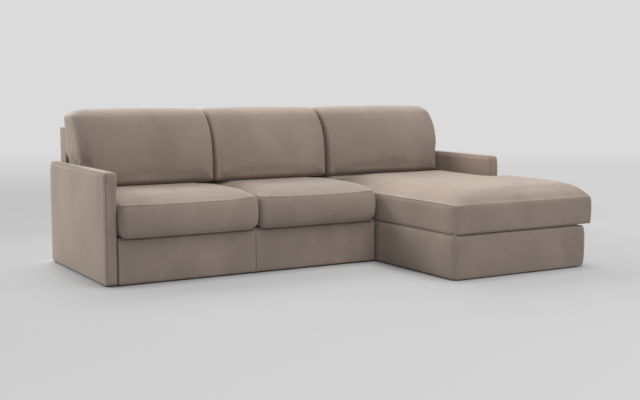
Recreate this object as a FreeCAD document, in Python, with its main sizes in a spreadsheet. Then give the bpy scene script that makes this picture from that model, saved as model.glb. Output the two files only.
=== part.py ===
"""Sectional sofa: two seats, a storage chaise on the right with a lift-up lid, loose back cushions.

Millimetres, +X to the right as seen from the front, +Y to the back, +Z up.  Plan places are
counted from the front left corner of the left arm at floor level; every sub-part is then set
back by plan_center_x and plan_center_y, so the origin lies under the middle of the whole sofa.
"""
import FreeCAD, Part
import math
import os
import Sketcher

# Driving dimensions
SIZES = {
    "arm_height": 600,
    "arm_depth": 980,
    "arm_thickness": 70,
    "arm_roll_radius": 28,
    "arm_nose_radius": 9,
    "arm_board_thickness": 28,
    "arm_board_margin": 22,
    "floor_gap": 10,
    "seat_bay_width": 800,
    "seat_front_proud": 5,
    "seat_front_cover_thickness": 15,
    "cover_top_drop": 10,
    "cover_edge_radius": 9,
    "deck_height": 251,
    "rail_thickness": 25,
    "rail_height": 120,
    "strap_width": 60,
    "strap_thickness": 2,
    "straps_per_seat": 6,
    "cross_straps": 4,
    "deck_pad_thickness": 5,
    "dust_cloth_thickness": 2,
    "seat_cushion_height": 215,
    "seat_cushion_proud": 52,
    "cushion_split_shift": 13,
    "cushion_end_gap": 10,
    "cushion_side_gap": 2,
    "cushion_corner_radius": 24,
    "rest_gap": 0.3,
    "back_thickness": 110,
    "back_frame_height": 800,
    "back_front_padding": 25,
    "back_rear_padding": 10,
    "back_top_padding": 20,
    "back_side_padding": 12,
    "back_edge_radius": 8,
    "post_width": 45,
    "back_cushion_height": 446,
    "back_cushion_thickness": 312,
    "chaise_bay_width": 868,
    "chaise_reach": 772,
    "chaise_cover_thickness": 14,
    "chaise_corner_radius": 42,
    "wall_thickness": 18,
    "rear_deck_depth": 330,
    "store_floor_place": 28,
    "store_floor_thickness": 12,
    "module_gap": 1,
    "lid_side_gap": 6,
    "lid_overhang": 50,
    "lid_front_proud": 2,
    "lid_arm_gap": 8,
    "lid_rear_gap": 6,
    "lid_skirt_thickness": 13,
    "lid_rail_height": 25,
    "lid_rail_width": 56,
    "lid_panel_thickness": 10,
    "lid_side_height": 152,
    "lid_crown": 63,
    "lid_corner_radius": 40,
    "lid_small_radius": 10,
    "lid_slats": 3,
    "lid_slat_width": 70,
    "bracket_thickness": 3,
    "bracket_margin": 22,
    "hinge_play": 1,
    "cam_plate_thickness": 4,
    "link_thickness": 5,
    "link_half_width": 14,
    "pivot_radius": 6,
    "pivot_play": 0.08,
    "pivot_head_radius": 10,
    "pivot_head_height": 2,
    "cam_pin_radius": 6,
    "cam_slot_play": 0.5,
    "cam_slot_wall": 12,
    "link_foot_setback": 158,
    "link_foot_drop": 175,
    "link_head_setback": 36,
    "link_head_drop": 33,
    "cam_pin_setback": 233,
    "cam_pin_drop": 25,
    "link_travel_angle": 64,
    "lid_turn_share": 0.5,
    "tie_tube_radius": 11,
    "tie_tube_wall": 2.5,
    "screw_end_distance": 20,
    "screw_radius": 2.5,
    "screw_hole_play": 0.2,
    "screw_length": 16,
    "screw_head_radius": 5,
    "screw_head_height": 1.6,
    "foot_size": 50,
    "foot_inset": 70,
    "joint_plate_length": 90,
    "joint_plate_thickness": 3,
    "corner_block_size": 60,
}

doc = FreeCAD.newDocument("Sofa")
sheet = doc.addObject("Spreadsheet::Sheet", "Sizes")
for row, (alias, number) in enumerate(SIZES.items(), start=1):
    sheet.set(f"A{row}", alias)
    sheet.set(f"B{row}", str(number))
    sheet.setAlias(f"B{row}", alias)
doc.recompute()


class Size:
    """A length that carries both its number and the expression that gives it."""

    def __init__(self, text, number):
        self.text = text
        self.number = float(number)

    def joined(self, sign, other, number):
        return Size(f"({self.text} {sign} {other.text})", number)

    def __add__(self, other):
        other = sized(other)
        return self.joined("+", other, self.number + other.number)

    def __radd__(self, other):
        return sized(other) + self

    def __sub__(self, other):
        other = sized(other)
        return self.joined("-", other, self.number - other.number)

    def __rsub__(self, other):
        return sized(other) - self

    def __mul__(self, other):
        other = sized(other)
        return self.joined("*", other, self.number * other.number)

    def __rmul__(self, other):
        return sized(other) * self

    def __truediv__(self, other):
        other = sized(other)
        return self.joined("/", other, self.number / other.number)

    def __float__(self):
        return self.number


def sized(value):
    """A plain number as a Size; a Size as it is."""
    if isinstance(value, Size):
        return value
    return Size(f"({float(value):.6f})", value)


def cell(alias):
    return Size(f"Sizes.{alias}", getattr(sheet, alias))


S = {alias: cell(alias) for alias in SIZES}

# Places worked out from the driving dimensions
bottom = S["floor_gap"]
deck = S["deck_height"]
arm_in = S["arm_thickness"]
seat_split = arm_in + S["seat_bay_width"]
seat_end = seat_split + S["seat_bay_width"]
chaise_end = seat_end + S["chaise_bay_width"]
arm_out = chaise_end + S["arm_thickness"]
lid_end = arm_out + S["lid_overhang"]
chaise_foot = 0 - S["chaise_reach"]
lid_foot = chaise_foot - S["lid_front_proud"]
sofa_rear = S["arm_depth"]
back_front = sofa_rear - S["back_thickness"]
wall_in_left = seat_end + S["chaise_cover_thickness"] + S["wall_thickness"]
wall_in_right = chaise_end - S["chaise_cover_thickness"] - S["wall_thickness"]
store_foot = chaise_foot + S["chaise_cover_thickness"] + S["wall_thickness"]
store_rear = back_front - S["rear_deck_depth"]
lid_rear = store_rear - S["lid_rear_gap"]
rest_height = deck + S["rest_gap"]
cushion_top = rest_height + S["seat_cushion_height"]
plan_center_x = lid_end / 2
plan_center_y = (lid_foot + sofa_rear) / 2

nodes = []


def shifted(item, x=0, y=0, z=0):
    """Binds an object's place, set back to the middle of the sofa."""
    item.setExpression("Placement.Base.x", (sized(x) - plan_center_x).text)
    item.setExpression("Placement.Base.y", (sized(y) - plan_center_y).text)
    item.setExpression("Placement.Base.z", sized(z).text)
    return item


def keep(item, label):
    """Names an object as a sub-part that gets a file of its own."""
    item.Label = label
    nodes.append(item)
    return item


def box(name, x, y, z):
    """A board between low and high values on each axis."""
    item = doc.addObject("Part::Box", name)
    for prop, (low, high) in zip(("Length", "Width", "Height"), (x, y, z)):
        item.setExpression(prop, (sized(high) - low).text)
    return shifted(item, x[0], y[0], z[0])


def rod(name, axis, low, high, radius, first, second):
    """A cylinder along X (first is Y, second is Z) or along Z (first is X, second is Y)."""
    item = doc.addObject("Part::Cylinder", name)
    item.setExpression("Radius", sized(radius).text)
    item.setExpression("Height", (sized(high) - low).text)
    if axis == "X":
        item.Placement = FreeCAD.Placement(FreeCAD.Vector(), FreeCAD.Rotation(FreeCAD.Vector(0, 1, 0), 90))
        return shifted(item, low, first, second)
    return shifted(item, first, second, low)


def group(label, members):
    item = doc.addObject("Part::Compound", label)
    item.Links = members
    return keep(item, label)


def fused(name, members):
    item = doc.addObject("Part::MultiFuse", name)
    item.Shapes = members
    return item


PLANES = {"X": "YZ_Plane", "Y": "XZ_Plane", "Z": "XY_Plane"}


def outline_sketch(body, axis, level, corners, circles=()):
    """A closed outline of bound corners on the plane square to axis, at the given level."""
    sketch = body.newObject("Sketcher::SketchObject", body.Name + "_outline")
    plane = next(f for f in body.Origin.OriginFeatures if f.Role == PLANES[axis])
    sketch.AttachmentSupport = [(plane, "")]
    sketch.MapMode = "FlatFace"
    side = -1 if axis == "Y" else 1
    sketch.setExpression("AttachmentOffset.Base.z", (sized(level) * side).text)
    points = [FreeCAD.Vector(float(a), float(b), 0) for a, b in corners]
    count = len(points)
    for i in range(count):
        sketch.addGeometry(Part.LineSegment(points[i], points[(i + 1) % count]), False)
    for i in range(count):
        sketch.addConstraint(Sketcher.Constraint("Coincident", i, 2, (i + 1) % count, 1))
    for i, corner in enumerate(corners):
        bind_point(sketch, i, 1, corner)
    for a, b, radius in circles:
        centre = FreeCAD.Vector(float(a), float(b), 0)
        ring = sketch.addGeometry(Part.Circle(centre, FreeCAD.Vector(0, 0, 1), float(radius)), False)
        bind_point(sketch, ring, 3, (a, b))
        index = sketch.addConstraint(Sketcher.Constraint("Radius", ring, float(radius)))
        sketch.setExpression(f"Constraints[{index}]", sized(radius).text)
    return sketch


def bind_point(sketch, geometry, end, place):
    """Holds one point of a sketch at bound distances from the sketch's origin."""
    for kind, value in zip(("DistanceX", "DistanceY"), place):
        index = sketch.addConstraint(Sketcher.Constraint(kind, -1, 1, geometry, end, float(value)))
        sketch.setExpression(f"Constraints[{index}]", sized(value).text)


def prism(label, axis, low, high, corners, circles=()):
    """A body padded along an axis from low to high, with round holes where circles are given."""
    body = doc.addObject("PartDesign::Body", label)
    sketch = outline_sketch(body, axis, low, corners, circles)
    pad = body.newObject("PartDesign::Pad", label + "_pad")
    pad.Profile = sketch
    pad.Reversed = axis == "Y"
    pad.setExpression("Length", (sized(high) - low).text)
    body.Tip = pad
    shifted(body)
    doc.recompute()
    return keep(body, label)


def pocket(body, axis, low, high, corners):
    """Cuts an outline out of a body between two levels, and checks that something came off."""
    before = body.Shape.Volume
    sketch = outline_sketch(body, axis, low, corners)
    hollow = body.newObject("PartDesign::Pocket", body.Name + "_pocket")
    hollow.Profile = sketch
    hollow.Reversed = axis != "Y"
    hollow.setExpression("Length", (sized(high) - low).text)
    body.Tip = hollow
    doc.recompute()
    if body.Shape.Volume >= before:
        raise ValueError(body.Label + ": the pocket cuts nothing")
    return body


def rounded(body, radius, chosen):
    """Rounds the edges of a body that the chosen test picks by middle point and direction."""
    base = body.Tip
    names = []
    for number, edge in enumerate(base.Shape.Edges, start=1):
        if edge.Curve.TypeId != "Part::GeomLine":
            continue
        direction = edge.tangentAt(edge.FirstParameter)
        middle = edge.valueAt((edge.FirstParameter + edge.LastParameter) / 2)
        if chosen(middle, direction):
            names.append(f"Edge{number}")
    if not names:
        raise ValueError(body.Label + ": no edge to round")
    fillet = body.newObject("PartDesign::Fillet", body.Name + "_round")
    fillet.Base = (base, names)
    fillet.setExpression("Radius", sized(radius).text)
    body.Tip = fillet
    doc.recompute()
    return body


TOUCHING = 0.01
STRAIGHT = 0.999


def near(value, place):
    return abs(value - float(place)) < TOUCHING


def along(direction, axis):
    return abs(getattr(direction, axis)) > STRAIGHT


def rectangle(a, b):
    """Corners of a rectangle between low and high values, in turn round it."""
    return [(a[0], b[0]), (a[1], b[0]), (a[1], b[1]), (a[0], b[1])]


def soft(label, shape):
    """Keeps a shape worked out from the sheet's numbers as a sub-part."""
    item = doc.addObject("Part::Feature", label)
    item.Shape = shape
    item.Placement = FreeCAD.Placement()
    shifted(item)
    return keep(item, label)


# Arms
def arm(side, left):
    """A padded arm with a rolled top, and the board that slides up into it from below."""
    right = left + S["arm_thickness"]
    body = prism(f"arm_{side}_cover", "Y", 0, S["arm_depth"], rectangle((left, right), (bottom, S["arm_height"])))
    slot_left = left + (S["arm_thickness"] - S["arm_board_thickness"]) / 2
    slot_right = slot_left + S["arm_board_thickness"]
    board_x = (slot_left, slot_right)
    board_y = (S["arm_board_margin"], S["arm_depth"] - S["arm_board_margin"])
    board_top = S["arm_height"] - S["arm_board_margin"]
    pocket(body, "Z", bottom, board_top, rectangle(board_x, board_y))
    top = S["arm_height"]

    def upright(middle, direction):
        outside = near(middle.x, left) or near(middle.x, right)
        return along(direction, "z") and outside and near(middle.y, 0)

    rounded(body, S["arm_nose_radius"], upright)

    def rim(middle, direction):
        return near(middle.z, top) and along(direction, "y")

    rounded(body, S["arm_roll_radius"], rim)
    keep(box(f"arm_{side}_board", board_x, board_y, (bottom, board_top)), f"arm_{side}_board")


arm("left", sized(0))
arm("right", chaise_end)

# Frame of the two seats
rail = S["rail_thickness"]
frame_left = arm_in
frame_right = seat_end - S["module_gap"]
cover_front = 0 - S["seat_front_proud"]
frame_front = cover_front + S["seat_front_cover_thickness"]
frame_rear = back_front
webbing_base = deck - S["deck_pad_thickness"] - 2 * S["strap_thickness"]
rail_z = (webbing_base - S["rail_height"], webbing_base)
board_z = (bottom, webbing_base)
inner_x = (frame_left + rail, frame_right - rail)
inner_y = (frame_front + rail, frame_rear - rail)


def board(label, x, y, z):
    return keep(box(label, x, y, z), label)


board("seat_front_board", (frame_left, frame_right), (frame_front, frame_front + rail), board_z)
board("seat_rear_rail", (frame_left, frame_right), (frame_rear - rail, frame_rear), rail_z)
board("seat_left_rail", (frame_left, frame_left + rail), inner_y, rail_z)
board("seat_right_rail", (frame_right - rail, frame_right), inner_y, board_z)
board("seat_middle_rail", (seat_split - rail / 2, seat_split + rail / 2), inner_y, rail_z)


def corner_block(name, x, y, toward_x, toward_y):
    """A glued three-cornered block in one corner of the seat frame."""
    size = S["corner_block_size"]
    corners = [(x, y), (x + toward_x * size, y), (x, y + toward_y * size)]
    body = doc.addObject("PartDesign::Body", name)
    sketch = outline_sketch(body, "Z", rail_z[0], corners)
    pad = body.newObject("PartDesign::Pad", name + "_pad")
    pad.Profile = sketch
    pad.setExpression("Length", (rail_z[1] - rail_z[0]).text)
    body.Tip = pad
    return shifted(body)


group("seat_corner_blocks", [
    corner_block("block_front_left", inner_x[0], inner_y[0], 1, 1),
    corner_block("block_front_right", inner_x[1], inner_y[0], -1, 1),
    corner_block("block_rear_right", inner_x[1], inner_y[1], -1, -1),
    corner_block("block_rear_left", inner_x[0], inner_y[1], 1, -1),
])

# Elastic webbing: straps from front to back, cross straps over them, and a felt pad on top
lower_strap_z = (webbing_base, webbing_base + S["strap_thickness"])
upper_strap_z = (lower_strap_z[1], lower_strap_z[1] + S["strap_thickness"])
strap_count = int(SIZES["straps_per_seat"]) * 2
strap_step = (frame_right - frame_left) / strap_count
straps = []
for number in range(strap_count):
    middle = frame_left + strap_step * (number + 0.5)
    strap_x = (middle - S["strap_width"] / 2, middle + S["strap_width"] / 2)
    straps.append(box(f"strap_{number}", strap_x, (frame_front, frame_rear), lower_strap_z))
group("seat_straps", straps)
cross_count = int(SIZES["cross_straps"])
cross_step = (frame_rear - frame_front) / cross_count
crosses = []
for number in range(cross_count):
    middle = frame_front + cross_step * (number + 0.5)
    strap_y = (middle - S["strap_width"] / 2, middle + S["strap_width"] / 2)
    crosses.append(box(f"cross_{number}", (frame_left, frame_right), strap_y, upper_strap_z))
group("seat_cross_straps", crosses)
board("seat_deck_pad", (frame_left, frame_right), (frame_front, frame_rear), (upper_strap_z[1], deck))
board("seat_dust_cloth", (frame_left + rail, frame_right - rail), (frame_front + rail, back_front),
      (bottom, bottom + S["dust_cloth_thickness"]))


# Padded front of the two seats, in two panels that meet at the middle seam
def front_cover(label, left, right):
    top = deck - S["cover_top_drop"]
    body = prism(label, "X", left, right, rectangle((cover_front, frame_front), (bottom, top)))

    def rim(middle, direction):
        return near(middle.y, cover_front) and near(middle.z, top) and along(direction, "x")

    return rounded(body, S["cover_edge_radius"], rim)


front_cover("seat_front_cover_left", arm_in, seat_split)
front_cover("seat_front_cover_middle", seat_split, seat_end - S["module_gap"])


# Backs: a frame of posts and rails inside a padded cover that is open below
def back(side, left, right, post_count):
    front = back_front
    top = S["back_frame_height"]
    cover = prism(f"back_{side}_cover", "X", left, right, rectangle((front, sofa_rear), (bottom, top)))
    hollow_x = (left + S["back_side_padding"], right - S["back_side_padding"])
    hollow_y = (front + S["back_front_padding"], sofa_rear - S["back_rear_padding"])
    hollow_z = (bottom, top - S["back_top_padding"])
    pocket(cover, "Z", hollow_z[0], hollow_z[1], rectangle(hollow_x, hollow_y))

    def rim(middle, direction):
        outside = near(middle.y, front) or near(middle.y, sofa_rear)
        return near(middle.z, top) and outside and along(direction, "x")

    rounded(cover, S["back_edge_radius"], rim)
    post = S["post_width"]
    rail_low = (bottom, bottom + post)
    rail_top = (hollow_z[1] - post, hollow_z[1])
    group(f"back_{side}_rails", [box(f"rail_low_{side}", hollow_x, hollow_y, rail_low),
                                 box(f"rail_top_{side}", hollow_x, hollow_y, rail_top)])
    step = (hollow_x[1] - hollow_x[0] - post) / (post_count - 1)
    posts = []
    for number in range(post_count):
        start = hollow_x[0] + step * number
        posts.append(box(f"post_{side}_{number}", (start, start + post), hollow_y, (rail_low[1], rail_top[0])))
    group(f"back_{side}_posts", posts)


back("seat", arm_in, seat_end - S["module_gap"], 3)
back("chaise", seat_end, chaise_end, 2)

# Chaise: storage box walls, floor and the fixed deck behind the lid
wall = S["wall_thickness"]
wall_z = (bottom, deck)
wall_out_left = wall_in_left - wall
wall_out_right = wall_in_right + wall
board("chaise_wall_left", (wall_out_left, wall_in_left), (store_foot - wall, back_front), wall_z)
board("chaise_wall_right", (wall_in_right, wall_out_right), (store_foot - wall, back_front), wall_z)
board("chaise_wall_foot", (wall_in_left, wall_in_right), (store_foot - wall, store_foot), wall_z)
board("chaise_wall_middle", (wall_in_left, wall_in_right), (store_rear, store_rear + wall), wall_z)
board("chaise_wall_rear", (wall_in_left, wall_in_right), (back_front - wall, back_front), wall_z)
store_floor_z = (S["store_floor_place"], S["store_floor_place"] + S["store_floor_thickness"])
board("chaise_floor", (wall_in_left, wall_in_right), (store_foot, store_rear), store_floor_z)
deck_board_z = (deck, deck + S["lid_panel_thickness"])
rear_x = (wall_out_left, wall_out_right)
board("chaise_deck_board", rear_x, (store_rear, back_front), deck_board_z)

# Chaise cover: a padded skirt round the foot and both sides, thicker where it fills out to the arm
cover_top = deck - S["cover_top_drop"]
skirt = prism("chaise_cover", "Z", bottom, cover_top, [
    (seat_end, chaise_foot),
    (arm_out, chaise_foot),
    (arm_out, 0 - S["rest_gap"]),
    (chaise_end, 0 - S["rest_gap"]),
    (chaise_end, back_front),
    (seat_end, back_front),
])
pocket(skirt, "Z", bottom, cover_top, rectangle((wall_out_left, wall_out_right), (store_foot - wall, back_front)))
rounded(skirt, S["chaise_corner_radius"],
        lambda middle, direction: along(direction, "z") and near(middle.x, seat_end) and near(middle.y, chaise_foot))
rounded(skirt, S["cover_edge_radius"],
        lambda middle, direction: along(direction, "z") and near(middle.x, arm_out) and near(middle.y, chaise_foot))


# Lid of the chaise: rails, slats, a panel and the box cushion over them
lid_left = seat_end + S["lid_side_gap"]
lid_right = chaise_end - S["lid_side_gap"]
lid_step = 0 - S["lid_arm_gap"]
lid_skirt = S["lid_skirt_thickness"]
lid_frame_x = (lid_left + lid_skirt, lid_right - lid_skirt)
lid_frame_y = (lid_foot + lid_skirt, lid_rear - lid_skirt)
lid_rail_z = (rest_height, rest_height + S["lid_rail_height"])
lid_panel_z = (lid_rail_z[1], lid_rail_z[1] + S["lid_panel_thickness"])
lid_between_x = (lid_frame_x[0] + S["lid_rail_width"], lid_frame_x[1] - S["lid_rail_width"])
board("lid_rail_left", (lid_frame_x[0], lid_between_x[0]), lid_frame_y, lid_rail_z)
board("lid_rail_right", (lid_between_x[1], lid_frame_x[1]), lid_frame_y, lid_rail_z)
board("lid_rail_foot", lid_between_x, (lid_frame_y[0], lid_frame_y[0] + S["lid_rail_width"]), lid_rail_z)
board("lid_rail_rear", lid_between_x, (lid_frame_y[1] - S["lid_rail_width"], lid_frame_y[1]), lid_rail_z)
slat_count = int(SIZES["lid_slats"])
slat_step = (lid_frame_y[1] - lid_frame_y[0]) / (slat_count + 1)
slats = []
for number in range(slat_count):
    middle = lid_frame_y[0] + slat_step * (number + 1)
    slat_y = (middle - S["lid_slat_width"] / 2, middle + S["lid_slat_width"] / 2)
    slats.append(box(f"slat_{number}", lid_between_x, slat_y, lid_rail_z))
group("lid_slat_set", slats)
prism("lid_panel", "Z", lid_panel_z[0], lid_panel_z[1], [
    (lid_frame_x[0], lid_frame_y[0]),
    (lid_end - lid_skirt, lid_frame_y[0]),
    (lid_end - lid_skirt, lid_step - lid_skirt),
    (lid_frame_x[1], lid_step - lid_skirt),
    (lid_frame_x[1], lid_frame_y[1]),
    (lid_frame_x[0], lid_frame_y[1]),
])

# Lift hinge: on each side a bracket on the box wall, a link that carries the rear of the lid, and
# a cam plate under the lid whose curved slot rides on a pin, so that lid and link turn together
foot = (store_rear - S["link_foot_setback"], deck - S["link_foot_drop"])
head = (store_rear - S["link_head_setback"], deck - S["link_head_drop"])
cam = (store_rear - S["cam_pin_setback"], deck - S["cam_pin_drop"])
pin = S["pivot_radius"]
hole = pin + S["pivot_play"]
margin = S["bracket_margin"]
link_rise = head[1] - foot[1]
link_run = head[0] - foot[0]
link_length = Size(f"sqrt({link_rise.text}^2 + {link_run.text}^2)",
                   math.hypot(link_rise.number, link_run.number))
link_slope = Size(f"atan2({link_rise.text}; {link_run.text})",
                  math.degrees(math.atan2(link_rise.number, link_run.number)))


def turned(vector, degrees):
    """A (Y, Z) vector turned about +X."""
    angle = math.radians(degrees)
    y, z = vector
    return (y * math.cos(angle) - z * math.sin(angle), y * math.sin(angle) + z * math.cos(angle))


SLOT_ARCS = 3
SMALL_STEP = 0.01


def slot_point(share):
    """Where the fixed cam pin lies in the closed lid's own frame when the link has turned by a share."""
    turn = float(S["link_travel_angle"]) * share
    lift = turned((float(link_run), float(link_rise)), turn)
    centre = (float(foot[0]) + lift[0], float(foot[1]) + lift[1])
    back_turn = turned((float(cam[0]) - centre[0], float(cam[1]) - centre[1]),
                       turn * float(S["lid_turn_share"]))
    return (float(head[0]) + back_turn[0], float(head[1]) + back_turn[1])


def slot_side(distance):
    """Points at a signed distance beside the cam pin's path, from the closed end to the open end."""
    points = []
    for number in range(2 * SLOT_ARCS + 1):
        share = number / (2 * SLOT_ARCS)
        y, z = slot_point(share)
        before = slot_point(share - SMALL_STEP)
        after = slot_point(share + SMALL_STEP)
        run = (after[0] - before[0], after[1] - before[1])
        length = math.hypot(*run)
        points.append((y - run[1] / length * distance, z + run[0] / length * distance))
    return points


def curve(points, across):
    """Arcs through each three of the (Y, Z) points in turn, on the plane at X = across."""
    places = [FreeCAD.Vector(across, y, z) for y, z in points]
    return [Part.Arc(*places[i:i + 3]).toShape() for i in range(0, len(places) - 2, 2)]


def straight(start, end, across):
    return Part.makeLine(FreeCAD.Vector(across, *start), FreeCAD.Vector(across, *end))


def cam_plate(side, low, flange_low, flange_high):
    """A steel plate with its curved slot, pivot hole, and a flange that is screwed under the lid rail."""
    across = float(low)
    thick = float(S["cam_plate_thickness"])
    half = float(S["cam_pin_radius"]) + float(S["cam_slot_play"])
    edge = half + float(S["cam_slot_wall"])
    top = float(rest_height) - float(S["bracket_thickness"])
    lower = slot_side(-edge)
    closed_end = slot_point(0)
    open_end = slot_point(1)
    front = (closed_end[0] - edge, closed_end[1])
    rear = (open_end[0] + edge, open_end[1])
    outline = [
        straight((front[0], top), front, across),
        straight(front, lower[0], across),
        *curve(lower, across),
        straight(lower[-1], rear, across),
        straight(rear, (rear[0], top), across),
        straight((rear[0], top), (front[0], top), across),
    ]
    plate = Part.Face(Part.Wire(outline)).extrude(FreeCAD.Vector(thick, 0, 0))
    inner = slot_side(half)
    outer = slot_side(-half)
    caps = []
    for share, step in ((0, -1), (1, 1)):
        y, z = slot_point(share)
        ahead = slot_point(share + SMALL_STEP * step)
        run = (ahead[0] - y, ahead[1] - z)
        length = math.hypot(*run)
        caps.append((y + run[0] / length * half, z + run[1] / length * half))
    arcs = []
    for first, middle, last in ((inner[0], caps[0], outer[0]), (inner[-1], caps[1], outer[-1])):
        arcs.append(Part.Arc(*[FreeCAD.Vector(across, *point) for point in (first, middle, last)]).toShape())
    slot = Part.Wire(Part.__sortEdges__(curve(inner, across) + curve(outer, across) + arcs))
    plate = plate.cut(Part.Face(slot).extrude(FreeCAD.Vector(thick, 0, 0)))
    axis = FreeCAD.Vector(1, 0, 0)
    bore_start = FreeCAD.Vector(across, float(head[0]), float(head[1]))
    plate = plate.cut(Part.makeCylinder(float(hole), thick, bore_start, axis))
    flange = Part.makeBox(float(flange_high - flange_low), rear[0] - front[0], float(S["bracket_thickness"]),
                          FreeCAD.Vector(float(flange_low), front[0], top))
    for place in screw_places:
        centre = FreeCAD.Vector(float(flange_low + flange_high) / 2 + side * thick, float(place), top)
        flange = flange.cut(Part.makeCylinder(float(screw_hole), float(S["bracket_thickness"]), centre))
    name = "cam_plate_left" if side > 0 else "cam_plate_right"
    return soft(name, plate.fuse(flange).removeSplitter())


screw_hole = S["screw_radius"] + S["screw_hole_play"]
screw_places = (cam[0] + S["screw_end_distance"], head[0] - S["screw_end_distance"])


def screw(name, axis, seat, direction, first, second):
    """A pan head screw; its head's underside is at seat and its shank points along direction."""
    tip = seat + S["screw_length"] * direction
    crown = seat - S["screw_head_height"] * direction
    shank = (seat, tip) if direction > 0 else (tip, seat)
    cap = (crown, seat) if direction > 0 else (seat, crown)
    parts = [
        rod(name + "_shank", axis, shank[0], shank[1], S["screw_radius"], first, second),
        rod(name + "_head", axis, cap[0], cap[1], S["screw_head_radius"], first, second),
    ]
    return fused(name, parts)


def link(side, low, high):
    """A flat bar with round ends and a pivot hole at each end."""
    label = f"link_{side}"
    body = doc.addObject("PartDesign::Body", label)
    sketch = body.newObject("Sketcher::SketchObject", label + "_outline")
    plane = next(f for f in body.Origin.OriginFeatures if f.Role == "YZ_Plane")
    sketch.AttachmentSupport = [(plane, "")]
    sketch.MapMode = "FlatFace"
    sketch.setExpression("AttachmentOffset.Base.z", low.text)
    half = float(S["link_half_width"])
    span = float(link_length)
    normal = FreeCAD.Vector(0, 0, 1)
    ends = (FreeCAD.Vector(0, 0, 0), FreeCAD.Vector(span, 0, 0))
    quarter = math.pi / 2
    sketch.addGeometry(Part.ArcOfCircle(Part.Circle(ends[0], normal, half), quarter, 3 * quarter), False)
    sketch.addGeometry(Part.ArcOfCircle(Part.Circle(ends[1], normal, half), -quarter, quarter), False)
    sketch.addGeometry(Part.LineSegment(FreeCAD.Vector(0, half, 0), FreeCAD.Vector(span, half, 0)), False)
    sketch.addGeometry(Part.LineSegment(FreeCAD.Vector(0, -half, 0), FreeCAD.Vector(span, -half, 0)), False)
    for arc, arc_end, line, line_end in ((0, 1, 2, 1), (1, 2, 2, 2), (0, 2, 3, 1), (1, 1, 3, 2)):
        sketch.addConstraint(Sketcher.Constraint("Tangent", arc, arc_end, line, line_end))
    index = sketch.addConstraint(Sketcher.Constraint("Radius", 0, half))
    sketch.setExpression(f"Constraints[{index}]", S["link_half_width"].text)
    bind_point(sketch, 0, 3, (sized(0), sized(0)))
    bind_point(sketch, 1, 3, (link_length, sized(0)))
    for place in (sized(0), link_length):
        centre = FreeCAD.Vector(float(place), 0, 0)
        ring = sketch.addGeometry(Part.Circle(centre, normal, float(hole)), False)
        bind_point(sketch, ring, 3, (place, sized(0)))
        index = sketch.addConstraint(Sketcher.Constraint("Radius", ring, float(hole)))
        sketch.setExpression(f"Constraints[{index}]", hole.text)
    pad = body.newObject("PartDesign::Pad", label + "_pad")
    pad.Profile = sketch
    pad.setExpression("Length", (high - low).text)
    body.Tip = pad
    body.Placement = FreeCAD.Placement(FreeCAD.Vector(), FreeCAD.Rotation(FreeCAD.Vector(1, 0, 0), 1))
    shifted(body, 0, foot[0], foot[1])
    body.setExpression("Placement.Rotation.Angle", link_slope.text)
    return keep(body, label)


def hinge_side(side, wall_face, inward):
    """The hinge parts of one side, stacked from the wall's inner face towards the middle."""
    def layer(start, thickness):
        first = wall_face + inward * start
        second = wall_face + inward * (start + thickness)
        return (first, second) if inward > 0 else (second, first)

    bracket = S["bracket_thickness"]
    plate_start = bracket + S["hinge_play"]
    link_start = plate_start + S["cam_plate_thickness"] + S["hinge_play"]
    link_end = link_start + S["link_thickness"]
    low, high = layer(sized(0), bracket)
    screw_row = foot[1]
    screw_spots = (cam[0], (cam[0] + foot[0]) / 2)
    prism(f"hinge_bracket_{side}", "X", low, high, [
        (cam[0] - margin, foot[1] - margin),
        (foot[0] + margin, foot[1] - margin),
        (foot[0] + margin, foot[1] + margin),
        (cam[0] + margin, cam[1] + margin),
        (cam[0] - margin, cam[1] + margin),
    ], [(foot[0], foot[1], hole), (cam[0], cam[1], hole)] +
        [(spot, screw_row, screw_hole) for spot in screw_spots])
    plate = layer(plate_start, S["cam_plate_thickness"])
    flange = layer(plate_start, lid_between_x[0] - wall_in_left - plate_start)
    cam_plate(inward, plate[0], flange[0], flange[1])
    bar = layer(link_start, S["link_thickness"])
    link(side, bar[0], bar[1])
    foot_pin = layer(sized(0), link_end + S["pivot_head_height"])
    foot_pins.append(rod(f"foot_pin_{side}", "X", foot_pin[0], foot_pin[1], pin, foot[0], foot[1]))
    cam_pin = layer(sized(0), link_start - S["hinge_play"] / 2)
    cam_pins.append(rod(f"cam_pin_{side}", "X", cam_pin[0], cam_pin[1], S["cam_pin_radius"], cam[0], cam[1]))
    shank = layer(plate_start, link_end + S["rest_gap"] + S["pivot_head_height"] - plate_start)
    cap = layer(link_end + S["rest_gap"], S["pivot_head_height"])
    head_pins.append(fused(f"head_pin_{side}", [
        rod(f"head_pin_{side}_shank", "X", shank[0], shank[1], pin, head[0], head[1]),
        rod(f"head_pin_{side}_cap", "X", cap[0], cap[1], S["pivot_head_radius"], head[0], head[1]),
    ]))
    face = wall_face + inward * bracket
    for number, spot in enumerate(screw_spots):
        wall_screws.append(screw(f"wall_screw_{side}_{number}", "X", face, -inward, spot, screw_row))
    under = rest_height - bracket
    flange_middle = (flange[0] + flange[1]) / 2 + inward * S["cam_plate_thickness"]
    for number, place in enumerate(screw_places):
        lid_screws.append(screw(f"lid_screw_{side}_{number}", "Z", under, 1, flange_middle, place))
    return link_end


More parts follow.
